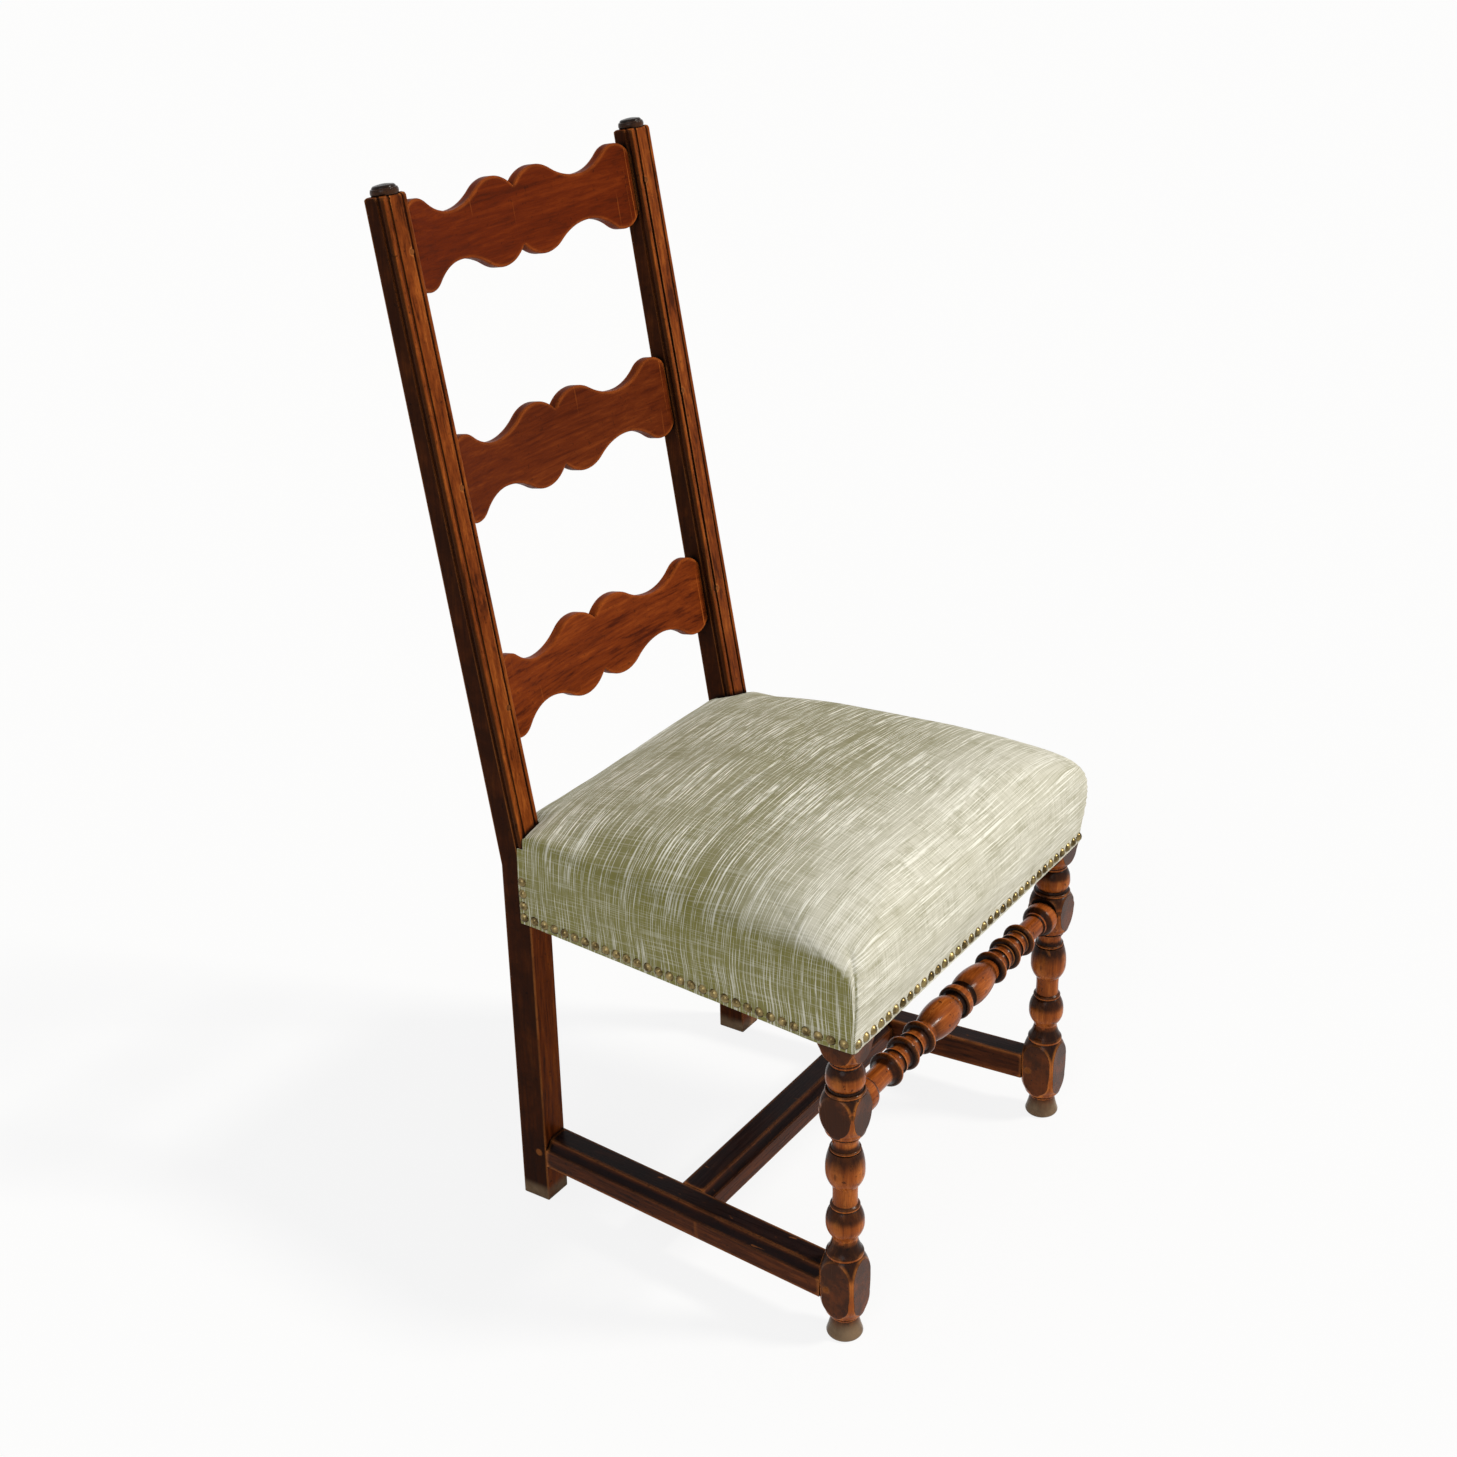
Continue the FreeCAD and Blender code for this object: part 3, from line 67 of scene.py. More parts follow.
def tint(tone: Tone) -> tuple[float, float, float, float]:
    """Turn a tone in steps of 0 to 255 into a linear colour.

    Args:
        tone: red, green and blue as seen on a screen.

    Returns:
        The linear colour with full opacity.
    """

    def linear(step: int) -> float:
        """One channel of the colour."""
        share = step / 255
        return share / 12.92 if share <= 0.04045 else ((share + 0.055) / 1.055) ** 2.4

    return (linear(tone[0]), linear(tone[1]), linear(tone[2]), 1.0)


def ease(value: float, low: float, high: float) -> float:
    """Rise smoothly from 0 at low to 1 at high."""
    share = min(max((value - low) / (high - low), 0.0), 1.0)
    return share * share * (3 - 2 * share)


def bell(value: float, width: float) -> float:
    """Height of a soft bump of one at zero, narrow for a small width."""
    return math.exp(-((value / width) ** 2))


def activate(piece: Piece) -> None:
    """Leave one object selected and active, in object mode.

    Args:
        piece: the object.
    """
    if bpy.context.object and bpy.context.object.mode != "OBJECT":
        bpy.ops.object.mode_set(mode="OBJECT")
    bpy.ops.object.select_all(action="DESELECT")
    piece.select_set(True)
    bpy.context.view_layer.objects.active = piece


def apply_modifier(piece: Piece, kind: str, **settings: object) -> None:
    """Add a modifier to a piece and apply it at once.

    Args:
        piece: the mesh object.
        kind: Blender's name of the modifier.
        settings: values of the modifier's own settings.
    """
    activate(piece)
    modifier = piece.modifiers.new(kind.title(), kind)
    for name, value in settings.items():
        setattr(modifier, name, value)
    bpy.ops.object.modifier_apply(modifier=modifier.name)


def merged_copy(node: str, name: str) -> Piece:
    """Copy a solid's mesh into a piece of its own and merge its loose triangles.

    Args:
        node: name of the solid.
        name: name of the new piece.

    Returns:
        The new piece, at the origin.
    """
    piece = bpy.data.objects.new(name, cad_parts[node].data.copy())
    piece.data.materials.clear()
    bpy.context.scene.collection.objects.link(piece)
    activate(piece)
    bpy.ops.object.mode_set(mode="EDIT")
    bpy.ops.mesh.select_all(action="SELECT")
    bpy.ops.mesh.remove_doubles(threshold=MERGE_REACH)
    bpy.ops.mesh.customdata_custom_splitnormals_clear()
    bpy.ops.object.mode_set(mode="OBJECT")
    return piece


def smooth(piece: Piece, angle: float) -> None:
    """Shade a piece smoothly up to an angle in degrees."""
    activate(piece)
    bpy.ops.object.shade_smooth_by_angle(angle=math.radians(angle))


def dress(piece: Piece, material: bpy.types.Material, slot: str, *nodes: str) -> None:
    """Give a piece its material, its place on the chair and the solids that it stands for.

    Args:
        piece: the finished piece.
        material: its material.
        slot: name of a material slot; not used.
        nodes: solids that it replaces, if any.
    """
    piece.data.materials.clear()
    piece.data.materials.append(material)
    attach(piece, BODY)
    if nodes:
        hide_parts(*nodes)
    LOG.info("%s: %d faces", piece.name, len(piece.data.polygons))


def coat(nodes: tuple[str, ...], material: bpy.types.Material) -> None:
    """Give solids that stay as they are a material.

    Args:
        nodes: names of the solids.
        material: their material.
    """
    for node in nodes:
        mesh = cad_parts[node].data
        mesh.materials.clear()
        mesh.materials.append(material)
        LOG.info("%s keeps its solid", node)


class Grain(Enum):
    """Axis along which the wood's grain runs."""

    ACROSS = (1.0, 13.0, 13.0)
    DEEP = (13.0, 1.0, 13.0)
    UPRIGHT = (13.0, 13.0, 1.0)


class Patina(Enum):
    """Faces that are painted dark: painted shade on the sides, painted shade and dark reflection on the tops.
    """

    EVEN = "none"
    SIDES = "faces that look to the left and right"
    TOPS = "faces that look up"


class NodeBoard:
    """Nodes of one node tree, laid out in code."""

    HOLLOW_SAMPLES = 8

    def __init__(self, tree: bpy.types.NodeTree) -> None:
        """Start on a tree."""
        self.tree = tree

    def node(self, kind: str, inputs: dict, **settings: object) -> bpy.types.Node:
        """Add a node.

        Args:
            kind: Blender's type name of the node.
            inputs: socket name or number to a value or to another node's socket.
            settings: values of the node's own settings.

        Returns:
            The node.
        """
        node = self.tree.nodes.new(kind)
        for name, value in settings.items():
            setattr(node, name, value)
        for key, value in inputs.items():
            if isinstance(value, Socket):
                self.tree.links.new(value, node.inputs[key])
            else:
                node.inputs[key].default_value = value
        return node

    def place(self) -> Socket:
        """Coordinates of the piece itself."""
        return self.node("ShaderNodeTexCoord", {}).outputs["Object"]

    def facing(self) -> tuple[Socket, Socket, Socket]:
        """The three parts of the direction that a face looks in."""
        normal = self.node("ShaderNodeTexCoord", {}).outputs["Normal"]
        return tuple(self.node("ShaderNodeSeparateXYZ", {0: normal}).outputs)

    def moved(self, vector: Socket, scale: Triple, shift: Triple = (0.0, 0.0, 0.0),
              turn: float = 0.0) -> Socket:
        """Coordinates turned about the depth, stretched by a scale and moved by a shift."""
        inputs = {"Vector": vector, "Scale": scale, "Location": shift, "Rotation": (0.0, turn, 0.0)}
        return self.node("ShaderNodeMapping", inputs).outputs[0]

    def cloud(self, vector: Socket, scale: float, detail: float = 4.0, rough: float = 0.5,
              twist: float = 0.0) -> Socket:
        """Soft noise between 0 and 1."""
        inputs = {"Vector": vector, "Scale": scale, "Detail": detail, "Roughness": rough, "Distortion": twist}
        return self.node("ShaderNodeTexNoise", inputs).outputs[0]

    def span(self, value: Socket, low: float, high: float, start: float = 0.0, end: float = 1.0) -> Socket:
        """Spread the values between low and high smoothly over start to end."""
        inputs = {"Value": value, "From Min": low, "From Max": high, "To Min": start, "To Max": end}
        return self.node("ShaderNodeMapRange", inputs, interpolation_type="SMOOTHSTEP").outputs[0]

    def math(self, operation: str, first: Value, second: Value = 0.0) -> Socket:
        """Sum, product or the like of two values."""
        return self.node("ShaderNodeMath", {0: first, 1: second}, operation=operation).outputs[0]

    def times(self, first: Value, second: Value) -> Socket:
        """Product of two values."""
        return self.math("MULTIPLY", first, second)

    def mix(self, share: Value, first: Union[Tone, Socket], second: Union[Tone, Socket]) -> Socket:
        """Mix two colours, given as tones or as sockets."""
        ends = [end if isinstance(end, Socket) else tint(end) for end in (first, second)]
        return self.node("ShaderNodeMix", {0: share, 6: ends[0], 7: ends[1]}, data_type="RGBA").outputs[2]

    def hollows(self, reach: float, inside: bool) -> Socket:
        """How hemmed in a point is, by corners within the reach or, from inside the wood, by the arris."""
        node = self.node("ShaderNodeAmbientOcclusion", {"Distance": reach}, inside=inside, only_local=inside,
                         samples=self.HOLLOW_SAMPLES)
        return self.math("SUBTRACT", 1.0, node.outputs["AO"])

    def relief(self, height: Socket, strength: float, depth: float) -> Socket:
        """Bump from a height."""
        inputs = {"Height": height, "Strength": strength, "Distance": depth}
        return self.node("ShaderNodeBump", inputs).outputs[0]


class MaterialBoard(NodeBoard):
    """Nodes of one material around its principled shader."""

    def __init__(self, name: str) -> None:
        """Start a material.

        Args:
            name: name of the material.
        """
        self.material = bpy.data.materials.new(name)
        self.material.use_nodes = True
        super().__init__(self.material.node_tree)
        self.shader = self.tree.nodes["Principled BSDF"]

    def shade(self, **inputs: object) -> None:
        """Set or link sockets of the shader, with underscores for spaces.

        Args:
            inputs: socket names to values or to other nodes' sockets.
        """
        for key, value in inputs.items():
            socket = self.shader.inputs[key.replace("_", " ")]
            if isinstance(value, Socket):
                self.tree.links.new(value, socket)
            else:
                socket.default_value = value


@dataclass(frozen=True)
class Walnut:
    """Wax-finished walnut: grime and painted shade in the hollows, painted dark faces that look one way, worn
    to orange on the arrises.
    """

    name: str
    grain: Grain
    patina: Patina = Patina.EVEN
    deep: Tone = (58, 24, 10)
    body: Tone = (104, 50, 22)
    warm: Tone = (140, 74, 32)
    worn: Tone = (196, 118, 58)
    # Painted dark tone for faces that look one way: painted shade and dark reflection
    waxed: Tone = (34, 18, 12)
    # Tone of dents, and of grime with painted shade in the hollows
    soot: Tone = (14, 9, 7)
    flat: Tone = (50, 26, 14)
    scuff: Tone = (126, 104, 80)
    wear: float = 0.8
    reach: float = 0.006
    hollow_reach: float = 0.008
    # Grime with painted shade in the hollows: where it starts and where it is full
    grime: Pair = (0.1, 0.5)
    # Which faces are painted dark: from how far they look to the side or up
    shelter: Pair = (0.45, 0.85)
    pits: float = 0.6
    rough: float = 0.38
    gloss: float = 0.02
    scuffed: float = 0.0
    block: Optional[Triple] = None
    shift: Triple = (0.0, 0.0, 0.0)

    # Noises: scale, detail, roughness and twist
    FIGURE = (5.0, 6.0, 0.6, 0.6)
    STREAK = (22.0, 6.0, 0.65, 0.3)
    FIBRE = (95.0, 3.0, 0.6)
    PATCH = (26.0, 5.0, 0.65)
    FLECK = (210.0, 3.0, 0.6)
    SCRATCH = (1.0, 2.0, 0.5)
    SCRATCH_STRETCH, SCRATCH_TURN = (260.0, 60.0, 7.0), 0.5
    # Masks: low and high value, then the shares at both
    TO_BODY, TO_WARM = (0.36, 0.5), (0.48, 0.66)
    FIBRE_LINES = (0.5, 0.7, 0.0, 0.35)
    # Painted dark faces, made uneven in patches
    WAX_SHARES, WAX_PATCHES = (0.0, 0.94), (0.25, 0.6, 0.82, 1.0)
    BLOCK_RIM, RIM_PATCHES = (0.86, 0.985), (0.4, 0.64, 0.05, 0.5)
    BLOCK_FLAT, FLAT_PATCHES = (0.982, 0.992, 0.0, 0.95), (0.42, 0.68, 0.0, 0.7)
    ARRIS, RUBBED_PATCHES, LEAST_WEAR = (0.12, 0.5), (0.3, 0.6), 0.3
    # Grime with painted shade in the hollows
    GRIME_SHARES = (0.0, 0.96)
    DENTS, DENT_PATCHES = (0.6, 0.7), (0.4, 0.58)
    SCRATCHES = (0.7, 0.78, 0.0, 0.25)
    SCUFF_LOW, SCUFF_PATCHES = 0.4, (0.3, 0.6, 0.35, 0.95)
    ROUGH_STREAKS, SMOOTHER, ROUGHER = (0.3, 0.7), 0.07, 0.12
    FIBRE_RELIEF, RELIEF = 0.4, (0.2, 0.0005)

    def sheltered(self, board: MaterialBoard) -> Socket:
        """Mask of the faces that are painted dark, as painted shade and dark reflection.

        Args:
            board: the material's nodes.

        Returns:
            The mask, 1 where a face is fully painted dark.
        """
        x, _, z = board.facing()
        side = board.math("ABSOLUTE", x) if self.patina is Patina.SIDES else z
        return board.span(side, *self.shelter, *self.WAX_SHARES)

    def block_depth(self, board: MaterialBoard, place: Socket) -> Socket:
        """How far out a point lies towards the flats of the square blocks, in half sides of the block.

        Args:
            board: the material's nodes.
            place: coordinates of the piece.

        Returns:
            The distance, 1 on the flats.
        """
        middle_x, middle_y, half = self.block
        x, y, _ = board.node("ShaderNodeSeparateXYZ", {0: place}).outputs
        across = board.math("SUBTRACT", board.math("ABSOLUTE", x), middle_x)
        deep = board.math("SUBTRACT", y, middle_y)
        out = board.math("MAXIMUM", board.math("ABSOLUTE", across), board.math("ABSOLUTE", deep))
        return board.math("DIVIDE", out, half)

    def timber(self, board: MaterialBoard, place: Socket, patch: Socket, tone: Socket,
               fibre: Socket) -> Socket:
        """Colour of the wax-finished wood before wear: grain, painted dark faces and the flats of square
        blocks.

        Args:
            board: the material's nodes.
            place: coordinates of the piece.
            patch: broad noise that makes the painted dark faces, the worn rims and the flats uneven.
            tone: figure and streaks of the grain.
            fibre: noise of the grain's fibres.

        Returns:
            The colour.
        """
        colour = board.mix(board.span(tone, *self.TO_BODY), self.deep, self.body)
        colour = board.mix(board.span(tone, *self.TO_WARM), colour, self.warm)
        colour = board.mix(board.span(fibre, *self.FIBRE_LINES), colour, self.deep)
        # Faces that look one way are painted dark: painted shade on faces that look to the sides, painted
        # shade and dark reflection on faces that look up
        if self.patina is not Patina.EVEN:
            dark = board.times(self.sheltered(board), board.span(patch, *self.WAX_PATCHES))
            colour = board.mix(dark, colour, self.waxed)
        if self.block:
            depth = self.block_depth(board, place)
            rim = board.times(board.span(depth, *self.BLOCK_RIM),
                             board.span(patch, *self.RIM_PATCHES))
            colour = board.mix(rim, colour, self.worn)
            flat = board.mix(board.span(patch, *self.FLAT_PATCHES), self.flat, self.deep)
            colour = board.mix(board.span(depth, *self.BLOCK_FLAT), colour, flat)
        return colour

    def material(self) -> bpy.types.Material:
        """Make the material.

        Returns:
            The finished material.
        """
        board = MaterialBoard(self.name)
        place = board.place()
        along = board.moved(place, self.grain.value, self.shift)
        figure = board.cloud(along, *self.FIGURE)
        streak = board.cloud(along, *self.STREAK)
        tone = board.math("ADD", board.times(figure, 0.5), board.times(streak, 0.5))
        fibre = board.cloud(along, *self.FIBRE)
        patch = board.cloud(place, *self.PATCH)
        fleck = board.cloud(place, *self.FLECK)
        colour = self.timber(board, place, patch, tone, fibre)
        arris = board.span(board.hollows(self.reach, True), *self.ARRIS)
        worn_patches = board.span(patch, *self.RUBBED_PATCHES, self.LEAST_WEAR * self.wear, self.wear)
        colour = board.mix(board.times(arris, worn_patches), colour, self.worn)
        # Grime with painted shade in the hollows and where other parts stand close
        corner = board.span(board.hollows(self.hollow_reach, False), *self.grime, *self.GRIME_SHARES)
        colour = board.mix(corner, colour, self.soot)
        dent = board.times(board.span(fleck, *self.DENTS, 0.0, self.pits),
                          board.span(patch, *self.DENT_PATCHES))
        colour = board.mix(dent, colour, self.soot)
        scratch = board.cloud(board.moved(place, self.SCRATCH_STRETCH, turn=self.SCRATCH_TURN), *self.SCRATCH)
        colour = board.mix(board.span(scratch, *self.SCRATCHES), colour, self.worn)
        if self.scuffed:
            height = board.node("ShaderNodeSeparateXYZ", {0: place}).outputs[2]
            bare = board.times(board.span(height, self.scuffed, self.scuffed * self.SCUFF_LOW),
                              board.span(patch, *self.SCUFF_PATCHES))
            colour = board.mix(bare, colour, self.scuff)
        board.shade(Base_Color=colour, Specular_IOR_Level=self.gloss)
        board.shade(Roughness=board.span(streak, *self.ROUGH_STREAKS, self.rough - self.SMOOTHER,
                                         self.rough + self.ROUGHER))
        height = board.math("SUBTRACT", board.times(fibre, self.FIBRE_RELIEF), dent)
        board.shade(Normal=board.relief(height, *self.RELIEF))
        return board.material


@dataclass(frozen=True)
class Velvet:
    """Sage velvet with fine cream lines along its weave map."""

    name: str = "sage_velvet"
    ground: Tone = (148, 144, 116)
    olive: Tone = (122, 118, 76)
    # Tone of the painted light on the front and the front of the top
    pale: Tone = (218, 215, 200)
    # Tone of the painted shade on the sides
    flank: Tone = (124, 119, 56)
    cream: Tone = (238, 236, 224)
    map_name: str = "weave"
    sheen: float = 0.25

    # Noises along the weave map: stretch, shift, detail and roughness
    FINE = ((12.0, 1300.0, 1.0), (0.0, 0.0, 0.0), 2.0, 0.5)
    BOLD = ((8.0, 900.0, 1.0), (3.1, 0.7, 0.0), 1.0, 0.4)
    GAPS = ((46.0, 300.0, 1.0), (8.2, 1.9, 0.0), 2.0, 0.5)
    BARS = ((780.0, 16.0, 1.0), (0.4, 5.2, 0.0), 1.0, 0.4)
    MOTTLE = ((30.0, 46.0, 1.0), (1.7, 2.3, 0.0), 6.0, 0.7)
    # Noise through the seat: scale, detail, roughness and twist
    NAP = (8.0, 6.0, 0.62, 0.6)
    # Masks: low and high value, then the shares at both
    NAP_SHADE, MOTTLE_SHADE = (0.4, 0.62, 0.05, 0.6), (0.48, 0.68, 0.0, 0.4)
    FINE_SHADE, BOLD_LINES = (0.5, 0.36, 0.0, 0.45), (0.545, 0.575, 0.0, 0.95)
    LINE_GAPS, FLANK_LOSS = (0.36, 0.56, 0.2, 1.0), 0.5
    PALE_BARS, DARK_BARS = (0.55, 0.62, 0.0, 0.16), (0.45, 0.38, 0.0, 0.16)
    # Painted light on the front faces, painted shade on the sides, then painted light on the front of the top
    FRONT_FACE, FLANK_FACE = (0.3, 0.8, 0.0, 0.75), (0.2, 0.95, 0.0, 0.85)
    FRONT_TOP, TOP_FACE = (-0.08, -0.24, 0.0, 0.85), (0.3, 0.8)
    FINE_RELIEF, RELIEF = 0.6, (0.3, 0.0006)

    def woven(self, board: MaterialBoard, kind: tuple) -> Socket:
        """One of the noises that are drawn out along the cloth's threads.

        Args:
            board: the material's nodes.
            kind: stretch, shift, detail and roughness of the noise.

        Returns:
            The noise, between 0 and 1.
        """
        weave = board.node("ShaderNodeUVMap", {}, uv_map=self.map_name).outputs[0]
        stretch, shift, detail, rough = kind
        return board.cloud(board.moved(weave, stretch, shift), 1.0, detail, rough)

    def brushed(self, board: MaterialBoard, flank: Socket) -> Socket:
        """Colour of the pile before its lines: olive in the nap, with painted light on the front and the
        front of the top, and painted shade on the sides.

        Args:
            board: the material's nodes.
            flank: mask of the sides.

        Returns:
            The colour.
        """
        place = board.place()
        _, y, z = board.facing()
        depth = board.node("ShaderNodeSeparateXYZ", {0: place}).outputs[1]
        # Painted light: paler on the front faces and on the front of the top
        ahead = board.span(board.times(y, -1.0), *self.FRONT_FACE)
        near = board.times(board.span(depth, *self.FRONT_TOP), board.span(z, *self.TOP_FACE))
        nap = board.cloud(place, *self.NAP)
        colour = board.mix(board.span(nap, *self.NAP_SHADE), self.ground, self.olive)
        # Painted shade on the sides
        colour = board.mix(flank, colour, self.flank)
        # Painted light in the pale tone
        colour = board.mix(board.math("MAXIMUM", ahead, near), colour, self.pale)
        mottle = self.woven(board, self.MOTTLE)
        return board.mix(board.span(mottle, *self.MOTTLE_SHADE), colour, self.olive)

    def material(self) -> bpy.types.Material:
        """Make the material.

        Returns:
            The finished material.
        """
        board = MaterialBoard(self.name)
        kinds = (self.FINE, self.BOLD, self.GAPS, self.BARS)
        fine, bold, gaps, bars = (self.woven(board, kind) for kind in kinds)
        # Mask of the sides, which get painted shade and fewer lines
        flank = board.span(board.math("ABSOLUTE", board.facing()[0]), *self.FLANK_FACE)
        colour = self.brushed(board, flank)
        colour = board.mix(board.span(fine, *self.FINE_SHADE), colour, self.olive)
        line = board.times(board.span(bold, *self.BOLD_LINES), board.span(gaps, *self.LINE_GAPS))
        kept = board.math("SUBTRACT", 1.0, board.times(flank, self.FLANK_LOSS))
        line = board.times(line, kept)
        colour = board.mix(board.span(bars, *self.PALE_BARS), colour, self.cream)
        colour = board.mix(board.span(bars, *self.DARK_BARS), colour, self.olive)
        colour = board.mix(line, colour, self.cream)
        board.shade(Base_Color=colour, Roughness=0.9, Sheen_Weight=self.sheen, Sheen_Roughness=0.45)
        board.shade(Sheen_Tint=tint(self.cream), Specular_IOR_Level=0.12)
        height = board.math("ADD", board.times(fine, self.FINE_RELIEF), line)
        board.shade(Normal=board.relief(height, *self.RELIEF))
        return board.material


@dataclass(frozen=True)
class Brass:
    """Antique brass in bright and dull patches, with painted shade round the rims where the heads meet the
    cloth.
    """

    name: str = "antique_brass"
    bright: Tone = (146, 128, 86)
    dull: Tone = (76, 63, 38)
    # Tone of the painted shade round the rims
    rim: Tone = (30, 24, 16)
    rim_reach: float = 0.004

    PATCH, TO_BRIGHT, RIM = (140.0, 4.0, 0.6), (0.35, 0.65), (0.2, 0.7)
    ROUGHNESS = (0.3, 0.7, 0.2, 0.4)

    def material(self) -> bpy.types.Material:
        """Make the material.

        Returns:
            The finished material.
        """
        board = MaterialBoard(self.name)
        patch = board.cloud(board.place(), *self.PATCH)
        colour = board.mix(board.span(patch, *self.TO_BRIGHT), self.dull, self.bright)
        # Painted shade round each nail's rim, where it meets the cloth
        edge = board.span(board.hollows(self.rim_reach, False), *self.RIM)
        colour = board.mix(edge, colour, self.rim)
        board.shade(Base_Color=colour, Metallic=1.0)
        board.shade(Roughness=board.span(patch, *self.ROUGHNESS))
        return board.material


@dataclass(frozen=True)
class Jute:
    """Coarse woven jute for straps and ground cloth."""

    name: str
    pale: Tone
    dark: Tone
    pitch: float

    PATCH, THREAD, STAINS = (60.0, 4.0, 0.6), (0.05, 0.7), (0.45, 0.7, 0.0, 0.4)
    RELIEF = (0.6, 0.0006)

    def material(self) -> bpy.types.Material:
        """Make the material.

        Returns:
            The finished material.
        """
        board = MaterialBoard(self.name)
        place = board.place()
        threads = 2 * math.pi / self.pitch
        cells = board.node("ShaderNodeSeparateXYZ", {0: place})
        across = board.math("SINE", board.times(cells.outputs[0], threads))
        down = board.math("SINE", board.times(cells.outputs[1], threads))
        weave = board.math("ABSOLUTE", board.times(across, down))
        patch = board.cloud(place, *self.PATCH)
        colour = board.mix(board.span(weave, *self.THREAD), self.dark, self.pale)
        colour = board.mix(board.span(patch, *self.STAINS), colour, self.dark)
        board.shade(Base_Color=colour, Roughness=0.95, Specular_IOR_Level=0.1)
        board.shade(Normal=board.relief(weave, *self.RELIEF))
        return board.material


@dataclass
class Member:
    """One wooden member: a copy of its solid, softened where it is square, in its own cut of walnut."""

    node: str
    finish: Walnut
    softness: float = 0.0
    shortest: float = 0.0
    sharp: float = math.radians(32)
    flatness: float = math.radians(0.05)
    rounding: int = 2
    smooth_angle: float = 34.0

    def soften(self, piece: Piece) -> None:
        """Round the arrises that are long enough, as wear and wax have.

        Args:
            piece: the copied solid.
        """
        activate(piece)
        bpy.ops.object.mode_set(mode="EDIT")
        bpy.ops.mesh.select_all(action="SELECT")
        bpy.ops.mesh.dissolve_limited(angle_limit=self.flatness)
        bpy.ops.object.mode_set(mode="OBJECT")
        mesh = bmesh.new()
        mesh.from_mesh(piece.data)
        weight = mesh.edges.layers.float.new("bevel_weight_edge")
        for edge in mesh.edges:
            if len(edge.link_faces) == 2 and edge.calc_face_angle(0.0) > self.sharp:
                edge[weight] = 1.0 if edge.calc_length() >= self.shortest else 0.0
        mesh.to_mesh(piece.data)
        mesh.free()
        apply_modifier(piece, "BEVEL", width=self.softness, segments=self.rounding, limit_method="WEIGHT",
                       use_clamp_overlap=False, miter_outer="MITER_ARC")

    def build(self) -> None:
        """Make the member and let it stand for its solid."""
        piece = merged_copy(self.node, f"{self.node}_wood")
        if self.softness:
            self.soften(piece)
        smooth(piece, self.smooth_angle)
        if self.softness:
            apply_modifier(piece, "WEIGHTED_NORMAL", keep_sharp=True)
        dress(piece, self.finish.material(), "walnut", self.node)


